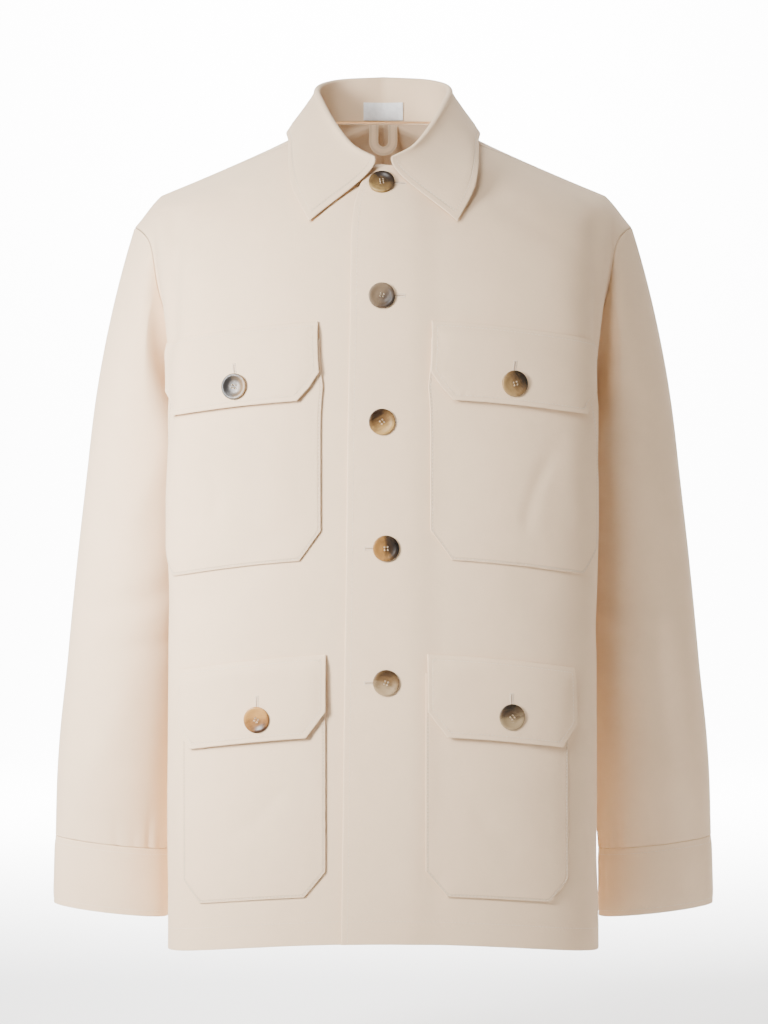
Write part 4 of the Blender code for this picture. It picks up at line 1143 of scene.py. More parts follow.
def label_cloth():
    """The label on the inside of the collar, at the centre back."""
    heights = LABEL_BASE_Z + crowded(LABEL_HEIGHT, step=0.0016)
    columns = crowded(LABEL_WIDTH, step=0.0016) - LABEL_WIDTH / 2
    grid = []
    for z in heights:
        row = []
        for x in columns:
            angle = 180.0 - math.degrees(math.asin(abs(x) / NECK_HALF_WIDTH))
            line = collar_section(angle)[:20]
            row.append([x, float(np.interp(z, line[:, 2], line[:, 1])), z])
        grid.append(row)
    points = np.array(grid)
    normals = grid_normals(points)
    if normals[1, 4][1] > 0.0:
        normals = -normals
    points = points + normals * (PATCH_GAP + TRIM_THICKNESS)
    ends = np.full(len(heights), LABEL_WIDTH)
    return Cloth(points, normals, (columns + LABEL_WIDTH / 2) / LABEL_WIDTH, ends * 0.0, ends,
                 heights - LABEL_BASE_Z)


label = label_cloth()
label_side = np.minimum(label.across(), LABEL_WIDTH - label.across())
label_edge = np.minimum(label_side, np.minimum(label.upward(), LABEL_HEIGHT - label.upward()))
label.raise_by(0.0005 * soft_step(label_edge / 0.004) * (1.0 + 0.5 * np.sin(label.across() * 300.0)))
cloths["neck_label"] = sew("cloth_neck_label", label, label_edge, np.abs(label_side - LABEL_TURN),
                           "neck_label", TRIM_THICKNESS)

# %% Hanger loop


def loop_cloth():
    """The U-shaped strip below the back neck seam."""
    radius = LOOP_LEG_SPACING / 2
    bend_z = LOOP_TOP_Z - LOOP_LEG_LENGTH
    leg = LOOP_TOP_Z - crowded(LOOP_LEG_LENGTH, step=0.002, high=False)
    path = [(-radius, z) for z in leg]
    for turn in np.linspace(0.0, math.pi, 25)[1:-1]:
        path.append((-radius * math.cos(turn), bend_z - radius * math.sin(turn)))
    path += [(radius, z) for z in leg[::-1]]
    path = np.array(path)
    ahead = unit(np.gradient(path, axis=0))
    across = np.stack([-ahead[:, 1], ahead[:, 0]], axis=1)
    columns = crowded(LOOP_STRIP_WIDTH, step=0.0012)
    rows = []
    for side in columns - LOOP_STRIP_WIDTH / 2:
        flat = path + across * side
        y = LOOP_TOP_Y - TRIM_THICKNESS + (LOOP_TOP_Z - flat[:, 1]) * LOOP_SLANT
        rows.append(np.stack([flat[:, 0], y, flat[:, 1]], axis=1))
    points = np.array(rows)
    normals = grid_normals(points)
    normals = normals * -np.sign(normals[..., 1:2])
    run = run_lengths(points[len(points) // 2])
    ends = np.full(len(points), run[-1])
    return Cloth(points, normals, run / run[-1], ends * 0.0, ends, columns)


loop = loop_cloth()
loop_side = np.minimum(loop.upward(), LOOP_STRIP_WIDTH - loop.upward())
loop_edge = np.minimum(loop_side, np.minimum(loop.across(), loop.ends[0] - loop.across()))
cloths["hanger_loop"] = sew("cloth_hanger_loop", loop, loop_edge, np.abs(loop_side - 0.0014),
                            "hanger_loop", TRIM_THICKNESS)

# %% [markdown]
# ## Stitches
# Topstitching is a lockstitch about 2.4 mm long, 3.2 mm apart, in thread a shade lighter than the
# cloth. Each stitch here is a tiny arched strand of four sides that dips into the cloth at both
# ends. All strands of one seam are joined in one mesh, since there are thousands.

# %% Stitches along lines
STITCH_PITCH = 0.0032
STITCH_LENGTH = 0.0025
THREAD_RADIUS = 0.00021
STITCH_RINGS = 5
STITCH_SIDES = 4


def resample(points, normals, pitch=STITCH_PITCH):
    """Starts of stitches along a line on the cloth: points, directions and normals."""
    run = run_lengths(points)
    count = max(int(run[-1] / pitch), 1)
    middle = (np.arange(count) + 0.5) * run[-1] / count
    at = points_at(points, run, middle)
    ahead = unit(points_at(points, run, middle + 0.0006) - points_at(points, run, middle - 0.0006))
    facing = unit(points_at(normals, run, middle))
    return at, ahead, facing


def strands(at, ahead, facing, length=STITCH_LENGTH, radius=THREAD_RADIUS, arch=0.55):
    """Points and faces of small arched strands, one for each place."""
    side = unit(np.cross(facing, ahead))
    points = []
    for ring in range(STITCH_RINGS):
        t = ring / (STITCH_RINGS - 1) * 2 - 1
        height = radius * (arch - 1.3 * t**4)
        girth = radius * (1.0 - 0.35 * t**4)
        centre = at + ahead * (t * length / 2) + facing * height
        for k in range(STITCH_SIDES):
            turn = 2 * math.pi * k / STITCH_SIDES
            points.append(centre + (side * math.cos(turn) + facing * math.sin(turn)) * girth)
    points = np.array(points).transpose(1, 0, 2)
    count = STITCH_RINGS * STITCH_SIDES
    quads = []
    for ring in range(STITCH_RINGS - 1):
        for k in range(STITCH_SIDES):
            k2 = (k + 1) % STITCH_SIDES
            low, high = ring * STITCH_SIDES, (ring + 1) * STITCH_SIDES
            quads.append([low + k, low + k2, high + k2, high + k])
    last = (STITCH_RINGS - 1) * STITCH_SIDES
    quads.append([0, 3, 2, 1])
    quads.append([last, last + 1, last + 2, last + 3])
    faces = (np.array(quads)[None] + (np.arange(len(at)) * count)[:, None, None]).reshape(-1, 4)
    return points.reshape(-1, 3), faces


def join_strands(name, parts):
    """All the strands of one seam as one piece."""
    points, faces, start = [], [], 0
    for part_points, part_faces in parts:
        points.append(part_points)
        faces.append(part_faces + start)
        start += len(part_points)
    piece = add_piece(name, np.concatenate(points), np.concatenate(faces))
    print(name, "strands:", start // (STITCH_RINGS * STITCH_SIDES))
    return piece


def stitch_line(cloth, s, rise, mirror=False):
    """Stitches along a line given by distances across and rises."""
    return strands(*resample(*on_side(*cloth.at(s, rise), mirror)))


def stitch_path(cloth, corners, closed=False, mirror=False):
    """A line of stitches through corners given as distances across and rises."""
    corners = np.array(corners, dtype=float)
    if closed:
        corners = np.vstack([corners, corners[:1]])
    parts = []
    for a, b in zip(corners[:-1], corners[1:]):
        count = max(int(np.linalg.norm(b - a) / 0.003), 2)
        share = np.linspace(0.0, 1.0, count)[:, None]
        line = a + (b - a) * share
        parts.append(stitch_line(cloth, line[:, 0], line[:, 1], mirror))
    return parts


LAP_TOP = NECK_RISE_FRONT - 0.004
HEM_END_GAP = 0.003
threads = []
hem_across = np.linspace(0.0, 1.0, 90)
for panel, mirror in ((upper, False), (lower, True)):
    start = np.interp(HEM_STITCH, panel.up, panel.starts) + HEM_END_GAP
    end = np.interp(HEM_STITCH, panel.up, panel.ends) - HEM_END_GAP
    threads.append(stitch_line(panel, start + (end - start) * hem_across, HEM_STITCH, mirror))
for mirror in (False, True):
    end = np.interp(HEM_STITCH, back.up, back.ends) - HEM_END_GAP
    threads.append(stitch_line(back, end * hem_across, HEM_STITCH, mirror))
stitched = [join_strands("stitches_hem", threads)]
lap_rises = np.linspace(0.002, LAP_TOP, 240)
lap_line = stitch_line(upper, np.interp(lap_rises, upper.up, upper.starts) + LAP_STITCH, lap_rises)
stitched.append(join_strands("stitches_lap", [lap_line]))

# %% Stitches on pockets, flaps, cuffs and collar
for name, size in PATCHES.items():
    is_flap = name.startswith("flap")
    inset = FLAP_STITCH if is_flap else POCKET_STITCH
    corners = inset_outline(patch_outline(size), [inset if is_flap else 0.004] + [inset] * 5)
    order = corners if is_flap else corners[[1, 2, 3, 4, 5, 0]]
    mirror = name.endswith("right")
    parts = stitch_path(patches[name], order, closed=is_flap, mirror=mirror)
    stitched.append(join_strands("stitches_" + name, parts))

for side, mirror in (("left", False), ("right", True)):
    threads = []
    for rise in (CUFF_STITCH, cuff_length - CUFF_STITCH):
        places = np.linspace(0.0, 1.0, 150) * SLEEVE_GIRTH * 0.985
        threads.append(stitch_line(cuff, places, rise, mirror))
    stitched.append(join_strands("stitches_cuff_" + side, threads))


def collar_path():
    """The stitch line round the collar's leaf, from one front end to the other."""
    points, normals = [], []
    from_end = np.linalg.norm(collar.points[:, -8] - collar.points[0, -8], axis=-1)
    row = int(np.argmin(np.abs(from_end - COLLAR_STITCH)))
    columns = range(fall_start, collar.points.shape[1])
    inside = outer_edge >= COLLAR_STITCH
    for column in columns:
        if inside[row, column]:
            points.append(collar.points[row, column])
            normals.append(collar.normals[row, column])
    for line in range(row, len(collar.points) - row):
        at = collar_runs[line, -1] - COLLAR_STITCH
        points.append([np.interp(at, collar_runs[line], collar.points[line, :, k]) for k in range(3)])
        normals.append([np.interp(at, collar_runs[line], collar.normals[line, :, k]) for k in range(3)])
    for column in reversed(columns):
        if inside[-1 - row, column]:
            points.append(collar.points[-1 - row, column])
            normals.append(collar.normals[-1 - row, column])
    return np.array(points), unit(normals)


stitched.append(join_strands("stitches_collar", [strands(*resample(*collar_path()))]))
label_threads = []
for s in (LABEL_TURN, LABEL_WIDTH - LABEL_TURN):
    points, normals = label.at(np.full(12, s), np.linspace(0.001, LABEL_HEIGHT - 0.001, 12))
    label_threads.append(strands(*resample(points, normals, 0.0021), length=0.0015, radius=0.00014))
label_stitches = join_strands("stitches_label", label_threads)

# %% [markdown]
# ## Buttonholes
# A buttonhole is a slit bound with close satin stitches that lie across its edge. The button sits
# at one end of it, so only the far end shows. Front buttonholes run across, flap ones up and down.

# %% Buttonholes
HOLE_REACH = 0.0120
BAR_OFFSET = 0.001054
HOLE_END = 0.0006
BAR_PITCH = 0.00052
FRONT_HOLE_SHIFTS = (0.0085, 0.0075, 0.0010, -0.0060, -0.0060)
FLAP_HOLE_SHIFT = 0.0080


def buttonhole(cloth, middle, along, mirror=False):
    """Satin stitches round a slit. Along is 0 for one across the cloth and 1 for one up it."""
    step = np.array([1.0, 0.0]) if along == 0 else np.array([0.0, 1.0])
    side = np.array([-step[1], step[0]])
    offsets = np.arange(-HOLE_REACH, HOLE_REACH + 1e-9, BAR_PITCH)
    parts = []
    rows = [(offsets[:, None] * step + side * sign * BAR_OFFSET, side) for sign in (-1.0, 1.0)]
    across = np.linspace(-1.4, 1.4, 7)[:, None] * side * BAR_OFFSET
    rows += [(across + step * sign * (HOLE_REACH + HOLE_END), step) for sign in (-1.0, 1.0)]
    for centre, way in rows:
        centre = np.array(middle) + centre
        points, normals = cloth.at(centre[:, 0], centre[:, 1])
        ahead, _ = cloth.at(centre[:, 0] + way[0] * 0.001, centre[:, 1] + way[1] * 0.001)
        parts.append((points, unit(ahead - points), normals))
    side = FLIP if mirror else 1.0
    at, ahead, facing = (np.concatenate([part[k] for part in parts]) * side for k in range(3))
    return strands(at, ahead, facing, length=0.0017, radius=0.00030, arch=0.25)


def slit(cloth, middle, along, mirror=False):
    """Dark strands in the cut between the two rows of satin stitches: painted shade inside the slit."""
    step = np.array([1.0, 0.0]) if along == 0 else np.array([0.0, 1.0])
    centre = np.array(middle) + np.linspace(-HOLE_REACH, HOLE_REACH, 13)[:, None] * step
    points, normals = on_side(*cloth.at(centre[:, 0], centre[:, 1]), mirror)
    return strands(*resample(points, normals, 0.0016), length=0.0026, radius=0.00022, arch=0.9)


holes, slit_shade_parts = [], []
for (name, s, rise), shift in zip(FRONT_BUTTONS, FRONT_HOLE_SHIFTS):
    holes.append(buttonhole(upper, (s + shift, rise), 0))
    slit_shade_parts.append(slit(upper, (s + shift, rise), 0))
for name, s, rise in FLAP_BUTTONS:
    flap = patches[name.replace("button_", "")]
    mirror = name.endswith("right")
    holes.append(buttonhole(flap, (s, rise + FLAP_HOLE_SHIFT), 1, mirror))
    slit_shade_parts.append(slit(flap, (s, rise + FLAP_HOLE_SHIFT), 1, mirror))
buttonholes = join_strands("buttonholes", holes)
painted_slit_shades = join_strands("buttonhole_painted_shade", slit_shade_parts)

# %% [markdown]
# ## Buttons
# The real buttons are turned from horn on a lathe: a flat back, a rounded rim, a shallow dished
# face and four drilled holes, sewn on with brown-beige thread. One is made from a cylinder, and
# the others are copies of its mesh, each turned to its own seat.

# %% Turn one button
HOLE_RADIUS = 0.00080
HOLE_SPACING = 0.00140
DISH = 0.0012
bpy.ops.object.select_all(action="DESELECT")
bpy.ops.mesh.primitive_cylinder_add(vertices=64, radius=BUTTON_RADIUS, depth=BUTTON_THICKNESS,
                                    location=(0.0, 0.0, BUTTON_THICKNESS / 2))
master = bpy.context.active_object
bpy.ops.object.mode_set(mode="EDIT")
bpy.ops.mesh.select_mode(type="FACE")
bpy.ops.mesh.select_all(action="DESELECT")
bpy.ops.object.mode_set(mode="OBJECT")
for face in master.data.polygons:
    face.select = face.normal.z > 0.9
bpy.ops.object.mode_set(mode="EDIT")
for inset, sink in ((0.0022, 0.0), (0.0012, -0.0004), (0.0014, -0.0005), (0.0020, -0.0003)):
    bpy.ops.mesh.inset(thickness=inset, depth=0.0)
    bpy.ops.transform.translate(value=(0.0, 0.0, sink))
bpy.ops.object.mode_set(mode="OBJECT")
bevel = master.modifiers.new("rim", "BEVEL")
bevel.width = 0.0009
bevel.segments = 4
bevel.limit_method = "ANGLE"
bevel.angle_limit = math.radians(40.0)
bpy.ops.object.modifier_apply(modifier="rim")
for x, y in ((1, 1), (1, -1), (-1, -1), (-1, 1)):
    bpy.ops.object.select_all(action="DESELECT")
    bpy.ops.mesh.primitive_cylinder_add(vertices=20, radius=HOLE_RADIUS, depth=BUTTON_THICKNESS * 3,
                                        location=(x * HOLE_SPACING, y * HOLE_SPACING, 0.0))
    drill = bpy.context.active_object
    bpy.ops.object.select_all(action="DESELECT")
    master.select_set(True)
    bpy.context.view_layer.objects.active = master
    cut = master.modifiers.new("hole", "BOOLEAN")
    cut.operation = "DIFFERENCE"
    cut.solver = "EXACT"
    cut.object = drill
    bpy.ops.object.modifier_apply(modifier="hole")
    bpy.data.objects.remove(drill, do_unlink=True)
bpy.ops.object.shade_smooth_by_angle(angle=math.radians(35.0))
print("faces of one button:", len(master.data.polygons))

# %% Seat the buttons


def place_on_front(s, rise):
    """A point on a front's outer face and the outward direction there."""
    step = 0.004
    points = []
    for height in (rise - step, rise, rise + step):
        line, run = front_row(height, step * 2)
        points.append(points_at(line, run, np.array([s - step, s, s + step])))
    points = np.array(points)
    return points[1, 1], unit(np.cross(points[1, 2] - points[1, 0], points[2, 1] - points[0, 1]))


def button_seats():
    """Where each button sits, and the way that it faces."""
    seats = {}
    for name, s, rise in FRONT_BUTTONS:
        point, normal = place_on_front(s, rise)
        seats[name] = (point + normal * (LAP_LIFT + SEAM_GAP), normal)
    for name, s, rise in FLAP_BUTTONS:
        size = PATCHES[name.replace("button_", "")]
        point, normal = place_on_front(s, rise)
        low = (size["top_rise"] - rise + BUTTON_RADIUS) / (size["top_rise"] - size["bottom_rise"])
        lift = float(lap_lift(s)) if name.endswith("left") else 0.0
        seat = point + normal * (float(flap_offset(low)) + WALL + SEAM_GAP + lift)
        seats[name] = on_side(seat, normal, name.endswith("right"))
    return seats


BUTTON_TURNS = {
    "button_front_1": 8.0, "button_front_2": -14.0, "button_front_3": 38.0, "button_front_4": 3.0,
    "button_front_5": -22.0, "button_flap_upper_left": 16.0, "button_flap_upper_right": -9.0,
    "button_flap_lower_left": 41.0, "button_flap_lower_right": -31.0,
}
buttons, seats = {}, button_seats()
button_threads = []
for name, (seat, normal) in seats.items():
    right = unit(np.cross([0.0, 0.0, 1.0], normal))
    up = np.cross(normal, right)
    turn = math.radians(BUTTON_TURNS[name])
    first = right * math.cos(turn) + up * math.sin(turn)
    second = np.cross(normal, first)
    frame_of = np.stack([first, second, normal], axis=1)
    mesh = master.data.copy()
    mesh.name = "horn_" + name
    places = np.array([vertex.co for vertex in mesh.vertices])
    mesh.vertices.foreach_set("co", (places @ frame_of.T + seat).ravel())
    mesh.update()
    piece = bpy.data.objects.new("horn_" + name, mesh)
    bpy.context.scene.collection.objects.link(piece)
    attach(piece, "root")
    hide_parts(name)
    buttons[name] = piece
    floor_of_dish = seat + normal * (BUTTON_THICKNESS - DISH + 0.00005)
    for sign in (-1.0, 1.0):
        for other in (-1.0, 1.0):
            at = floor_of_dish + first * (sign * HOLE_SPACING) + second * (other * HOLE_SPACING * 0.85)
            button_threads.append(strands(at[None], second[None], normal[None],
                                          length=HOLE_SPACING * 1.15, radius=0.00034, arch=0.7))
sewn_on = join_strands("button_threads", button_threads)
bpy.data.objects.remove(master, do_unlink=True)

# %% [markdown]
# ## Finishes
# Each finish is worked out from position or from the cloth's own measurements, never from an
# image. A small helper class lets node sockets be added and multiplied like numbers, so that a
# finish reads as a formula.

# %% A formula for shader sockets


class Field:
    """A socket of a node tree that can be used like a number or a vector."""

    def __init__(self, tree, socket):
        self.tree, self.socket = tree, socket

    def node(self, kind, settings=(), out=0, **inputs):
        """Any other node: its type, its settings, then its values or links by input name."""
        made = self.tree.nodes.new(kind)
        for key, value in dict(settings).items():
            setattr(made, key, value)
        for key, value in inputs.items():
            target = made.inputs[int(key[1:])] if key[0] == "i" and key[1:].isdigit() else made.inputs[key]
            if isinstance(value, Field):
                self.tree.links.new(value.socket, target)
            else:
                target.default_value = value
        return Field(self.tree, made.outputs[out])

    def math(self, operation, other=0.0):
        """A Math node."""
        return self.node("ShaderNodeMath", {"operation": operation}, i0=self, i1=other)

    def __add__(self, other):
        return self.math("ADD", other)

    def __radd__(self, other):
        return self.math("ADD", other)

    def __sub__(self, other):
        return self.math("SUBTRACT", other)

    def __rsub__(self, other):
        return self.math("MULTIPLY", -1.0).math("ADD", other)

    def __mul__(self, other):
        return self.math("MULTIPLY", other)

    def __rmul__(self, other):
        return self.math("MULTIPLY", other)

    def __truediv__(self, other):
        return self.math("DIVIDE", other)

    def __rtruediv__(self, other):
        return self.math("POWER", -1.0).math("MULTIPLY", other)

    def __neg__(self):
        return self.math("MULTIPLY", -1.0)

    def step(self, low, high):
        """0 below low, 1 above high, and a soft rise between."""
        settings = {"interpolation_type": "SMOOTHSTEP"}
        return self.node("ShaderNodeMapRange", settings, i0=self, i1=low, i2=high, i3=0.0, i4=1.0)

    def mix(self, low, high):
        """The colour low where this is 0 and high where it is 1."""
        return self.node("ShaderNodeMix", {"data_type": "RGBA"}, out=2, i0=self, i6=low, i7=high)

    def noise(self, scale, detail=2.0, roughness=0.5):
        """Soft noise at this place."""
        return self.node("ShaderNodeTexNoise", (), i0=self, i2=scale, i3=detail, i4=roughness)

    def moved(self, place=(0.0, 0.0, 0.0), turn=(0.0, 0.0, 0.0), scale=(1.0, 1.0, 1.0)):
        """This vector scaled, turned and moved."""
        return self.node("ShaderNodeMapping", (), i0=self, i1=place, i2=turn, i3=scale)


def new_finish(name, roughness, specular=0.5):
    """An empty finish: its material, its Principled shader and a starting field."""
    material = bpy.data.materials.new(name)
    material.use_nodes = True
    tree = material.node_tree
    shader = tree.nodes["Principled BSDF"]
    shader.inputs["Roughness"].default_value = roughness
    shader.inputs["Specular IOR Level"].default_value = specular
    return material, shader, Field(tree, None)


def plug(field, shader, socket):
    """Links a field to one of the shader's sockets."""
    field.tree.links.new(field.socket, shader.inputs[socket])


def bump(height):
    """A normal from a height in metres."""
    return height.node("ShaderNodeBump", (), Height=height, Distance=1.0, Strength=1.0)


# %% [markdown]
# Gabardine is a tight, steep twill: fine ridges at about 63 degrees, under a millimetre apart. Up
# close they catch the light; from a step away they only make the cloth matte. Near a line of
# stitches or a seam the cloth puckers a little and dips, and painted shade darkens its colour there.

# %% Gabardine
CLOTH_BASE = (0.800, 0.592, 0.388)
TWILL_PERIOD = 0.0007
TWILL_ANGLE = math.radians(63.0)
TWILL_HEIGHT = 0.000035
PUCKER_HEIGHT = 0.00044
GROOVE_DEPTH = 0.00022


def shade(colour, factor):
    """A colour made lighter or darker."""
    return (colour[0] * factor, colour[1] * factor, colour[2] * factor, 1.0)


def gabardine(name, has_line=True):
    """The jacket's cloth for one piece."""
    material, shader, field = new_finish("gabardine_" + name, 0.86, 0.28)
    uv = field.node("ShaderNodeUVMap", {"uv_map": "cloth"})
    place = field.node("ShaderNodeTexCoord", out=3)
    turned_cloth = uv.moved(turn=(0.0, 0.0, TWILL_ANGLE))
    twill = turned_cloth.node("ShaderNodeTexWave", {"bands_direction": "X"}, out=1, i0=turned_cloth,
                              i1=2 * math.pi / (20 * TWILL_PERIOD), i2=0.6, i3=1.0, i4=60.0)
    slub = place.noise(900.0, 2.0)
    cloudy = place.noise(9.0, 3.0, 0.6)
    mottle = place.noise(55.0, 3.0, 0.6)
    tint = (cloudy * 0.6 + mottle * 0.4).step(0.25, 0.75)
    colour = tint.mix(shade(CLOTH_BASE, 0.965), shade(CLOTH_BASE, 1.025))
    height = twill * TWILL_HEIGHT + slub * 0.00003 + mottle * 0.0004
    if has_line:
        settings = {"attribute_type": "GEOMETRY", "attribute_name": "line"}
        line = field.node("ShaderNodeAttribute", settings, out=2)
        groove_and_painted_shade = 1.0 - line.step(0.0002, 0.0016)
        near = 1.0 - line.step(0.0010, 0.0070)
        pucker = uv.noise(210.0, 1.0)
        height = height - groove_and_painted_shade * GROOVE_DEPTH + near * (pucker - 0.5) * PUCKER_HEIGHT
        # painted shade: the cloth's colour is darkened along each stitch line and seam, where the groove lies
        # in shade
        colour = (groove_and_painted_shade * 0.9).mix(colour, shade(CLOTH_BASE, 0.78))
    plug(colour, shader, "Base Color")
    shader.inputs["Sheen Weight"].default_value = 0.12
    shader.inputs["Sheen Roughness"].default_value = 0.6
    plug(bump(height), shader, "Normal")
    return material


def dress(piece, material):
    """Gives a piece one finish."""
    piece.data.materials.clear()
    piece.data.materials.append(material)


LINED = ("front_left", "front_right", "back", "cuff_left", "cuff_right", "collar", "hanger_loop", *PATCHES)
for name, piece in cloths.items():
    if name != "neck_label":
        dress(piece, gabardine(name, has_line=name in LINED))
print("cloth pieces dressed:", len(cloths) - 1)

# %% [markdown]
# The thread is spun polyester in the cloth's own colour, a little lighter and shinier than the
# cloth. Buttonholes are worked in the same thread.

# %% Thread
THREAD_BASE = (0.86, 0.73, 0.59)


def thread_finish(name, base=THREAD_BASE):
    """Twisted thread with a slight gloss."""
    material, shader, field = new_finish(name, 0.62, 0.4)
    place = field.node("ShaderNodeTexCoord", out=3)
    twist = place.noise(2600.0, 1.0)
    plug(twist.step(0.3, 0.7).mix(shade(base, 0.88), shade(base, 1.06)), shader, "Base Color")
    plug(bump(twist * 0.00006), shader, "Normal")
    return material


topstitch = thread_finish("topstitch_thread")
for piece in stitched:
    dress(piece, topstitch)
dress(label_stitches, thread_finish("label_thread", (0.78, 0.78, 0.77)))
dress(buttonholes, thread_finish("buttonhole_thread", (0.80, 0.645, 0.49)))
dress(sewn_on, thread_finish("button_thread", (0.66, 0.54, 0.38)))
# painted shadow: the near-black strands stand for the shade inside each buttonhole's slit
dress(painted_slit_shades, thread_finish("slit_shadow", (0.26, 0.185, 0.13)))

# %% [markdown]
# The label is white satin: long smooth floats along it give a soft gloss, and its weave is too
# fine to see but for a faint ribbing.

# %% Satin
material, shader, field = new_finish("white_satin", 0.48, 0.5)
uv = field.node("ShaderNodeUVMap", {"uv_map": "cloth"})
rib = uv.node("ShaderNodeTexWave", {"bands_direction": "Y"}, out=1, i0=uv,
              i1=2 * math.pi / (20 * 0.0005), i2=0.3)
soft = uv.noise(240.0, 2.0)
plug(soft.step(0.3, 0.7).mix((0.74, 0.745, 0.75, 1.0), (0.82, 0.82, 0.82, 1.0)), shader, "Base Color")
plug(bump(rib * 0.00002 + soft * 0.0002), shader, "Normal")
dress(cloths["neck_label"], material)

# %% [markdown]
# Horn is built of stretched layers, so its colours run in streaks: pale amber, brown and nearly
# black. Each button was cut from another spot, so each has its own pair of colours, its own
# streak direction and its own place of the dark streak. Polish adds a clear gloss.

# %% Horn
HORN_DEPTH = 0.62
HORN_COLUMNS = ("pale", "middle", "dark", "turn", "shift", "share")
HORNS = {
    "button_front_1": ((0.55, 0.36, 0.13), (0.20, 0.12, 0.05), (0.035, 0.022, 0.014),
                       62.0, 0.0030, 0.46),
    "button_front_2": ((0.26, 0.18, 0.11), (0.10, 0.065, 0.040), (0.025, 0.017, 0.012),
                       -30.0, -0.0010, 0.58),
    "button_front_3": ((0.62, 0.38, 0.13), (0.24, 0.13, 0.05), (0.040, 0.020, 0.010),
                       120.0, 0.0010, 0.50),
    "button_front_4": ((0.48, 0.24, 0.07), (0.050, 0.030, 0.018), (0.010, 0.007, 0.005),
                       15.0, 0.0055, 0.80),
    "button_front_5": ((0.52, 0.37, 0.21), (0.24, 0.14, 0.06), (0.08, 0.042, 0.018),
                       80.0, -0.0040, 0.34),
    "button_flap_upper_left": ((0.52, 0.33, 0.14), (0.24, 0.14, 0.06), (0.030, 0.020, 0.013),
                               35.0, 0.0010, 0.50),
    "button_flap_upper_right": ((0.40, 0.25, 0.12), (0.13, 0.095, 0.065), (0.030, 0.026, 0.024),
                                175.0, 0.0015, 0.42),
    "button_flap_lower_left": ((0.50, 0.36, 0.20), (0.12, 0.075, 0.040), (0.025, 0.018, 0.013),
                               100.0, 0.0000, 0.60),
    "button_flap_lower_right": ((0.70, 0.36, 0.10), (0.38, 0.17, 0.05), (0.07, 0.030, 0.012),
                                -70.0, -0.0050, 0.32),
}


def horn(name):
    """Polished horn with the streaks of one button."""
    look = dict(zip(HORN_COLUMNS, HORNS[name]))
    material, shader, field = new_finish("horn_" + name, 0.30, 0.22)
    centre = Vector(seats[name][0])
    place = field.node("ShaderNodeTexCoord", out=3)
    turn = math.radians(look["turn"])
    local = place.node("ShaderNodeVectorMath", {"operation": "SUBTRACT"}, i0=place, i1=tuple(centre))
    local = local.moved(turn=(0.0, turn, 0.0))
    split = local.node("ShaderNodeSeparateXYZ", out=0, i0=local)
    warp = (local.noise(160.0, 3.0, 0.6) - 0.5) * 0.010
    streak = local.moved(scale=(1.0, 0.45, 0.22)).noise(520.0, 4.0, 0.65)
    ramp = (split + warp + look["shift"]) / BUTTON_RADIUS * 0.5 + 0.5
    ramp = ramp + (streak - 0.5) * 0.55
    first = (ramp - look["share"]).step(-0.30, 0.12)
    second = (ramp - look["share"]).step(0.08, 0.42)
    colour = second.mix(first.mix(shade(look["pale"], HORN_DEPTH), shade(look["middle"], HORN_DEPTH)),
                        shade(look["dark"], HORN_DEPTH))
    plug(colour, shader, "Base Color")
    plug((streak.step(0.3, 0.8) * 0.16) + 0.26, shader, "Roughness")
    shader.inputs["Coat Weight"].default_value = 0.10
    shader.inputs["Coat Roughness"].default_value = 0.22
    plug(bump(streak * 0.00006 + local.noise(1300.0, 2.0) * 0.00002), shader, "Normal")
    return material


for name, piece in buttons.items():
    dress(piece, horn(name))
print("horn buttons:", len(buttons))

# %% [markdown]
# ## The studio
# The photograph is a cut-out on white, lit softly from the left. The key light is a soft box near
# the jacket on its left, narrowed and aimed left, so that the right side falls into a soft shade.
# A weaker one stands above it, a warm fill comes from the far right, and two more light only the
# wall and the floor behind. The floor runs back and curves up to a wall, so that no line shows
# behind the jacket; the wall is far enough back to leave room for a look from behind.

# %% Floor, lights and camera
FLOOR_Z = -0.900
WALL_Y = 5.40
CURVE = 1.20
CAMERA_DISTANCE = 2.90
CAMERA_Z = -0.3487
CAMERA_X = 0.00064
LENS = 110.8


def sweep():
    """A pale sheet: flat floor, a curve and a wall."""
    profile = [(-3.6, FLOOR_Z), (WALL_Y - CURVE, FLOOR_Z)]
    for turn in np.linspace(0.0, math.pi / 2, 17)[1:]:
        profile.append((WALL_Y - CURVE + CURVE * math.sin(turn), FLOOR_Z + CURVE * (1.0 - math.cos(turn))))
    profile.append((WALL_Y, 2.6))
    points, faces = [], []
    for y, z in profile:
        points += [(-3.2, y, z), (3.2, y, z)]
    for k in range(len(profile) - 1):
        faces.append((2 * k, 2 * k + 1, 2 * k + 3, 2 * k + 2))
    mesh = bpy.data.meshes.new("studio_sweep")
    mesh.from_pydata(points, [], faces)
    mesh.shade_smooth()
    stage = bpy.data.objects.new("studio_sweep", mesh)
    bpy.context.scene.collection.objects.link(stage)
    return stage


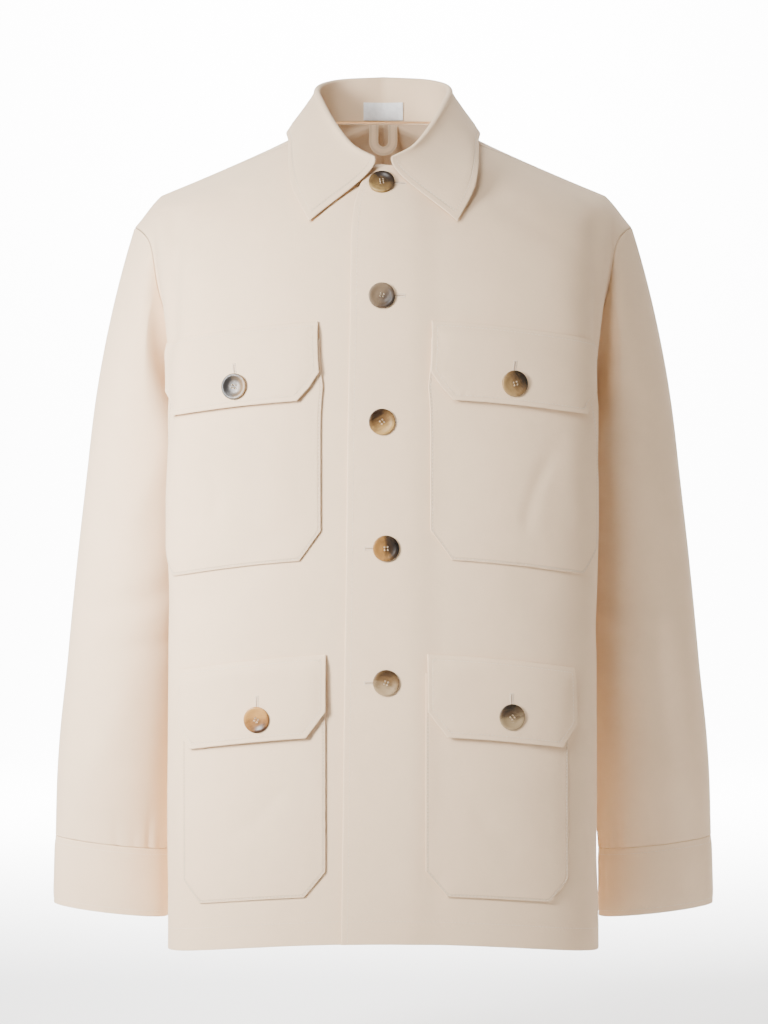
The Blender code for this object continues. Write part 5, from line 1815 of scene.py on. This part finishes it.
def area_light(name, place, size, power, colour=(1.0, 1.0, 1.0), aim=(0.0, 0.0, -0.35), spread=180.0):
    """A soft box that faces a point."""
    data = bpy.data.lights.new(name, "AREA")
    data.shape = "RECTANGLE"
    data.size, data.size_y = size
    data.energy = power
    data.color = colour
    data.spread = math.radians(spread)
    light = bpy.data.objects.new(name, data)
    light.location = place
    light.rotation_euler = (Vector(aim) - Vector(place)).to_track_quat("-Z", "Y").to_euler()
    bpy.context.scene.collection.objects.link(light)
    return light


stage = sweep()
material, shader, field = new_finish("studio_paper", 0.95, 0.1)
place = field.node("ShaderNodeTexCoord", out=3)
paper = place.noise(1.2, 2.0).step(0.2, 0.8)
plug(paper.mix((0.95, 0.95, 0.95, 1.0), (0.97, 0.97, 0.97, 1.0)), shader, "Base Color")
dress(stage, material)

world = bpy.data.worlds.new("studio_world")
world.use_nodes = True
world.node_tree.nodes["Background"].inputs["Color"].default_value = (1.0, 0.960, 0.920, 1.0)
world.node_tree.nodes["Background"].inputs["Strength"].default_value = 0.185
bpy.context.scene.world = world
area_light("key", (-1.05, -1.05, 0.00), (0.42, 0.55), 10.6, aim=(-0.26, 0.0, -0.40), spread=60.0)
area_light("high", (-0.75, -1.80, 1.15), (0.9, 0.7), 4.5, aim=(-0.02, 0.0, 0.06), spread=50.0)
area_light("fill", (2.4, -0.35, -0.3), (1.0, 1.6), 18.0, (1.0, 0.86, 0.74))
area_light("backdrop", (0.0, 2.60, 1.70), (3.4, 1.0), 1500.0, aim=(0.0, 4.90, 0.10))
area_light("floor", (0.0, 1.60, 1.50), (3.4, 1.6), 120.0, aim=(0.0, 1.70, -0.90), spread=120.0)

camera_data = bpy.data.cameras.new("camera")
camera_data.lens = LENS
camera_data.sensor_width = 36.0
camera = bpy.data.objects.new("camera", camera_data)
camera.location = (CAMERA_X, -CAMERA_DISTANCE, CAMERA_Z)
camera.rotation_euler = (math.radians(90.0), 0.0, 0.0)
bpy.context.scene.collection.objects.link(camera)
bpy.context.scene.camera = camera
print("camera:", tuple(round(v, 3) for v in camera.location), "lens:", camera_data.lens)
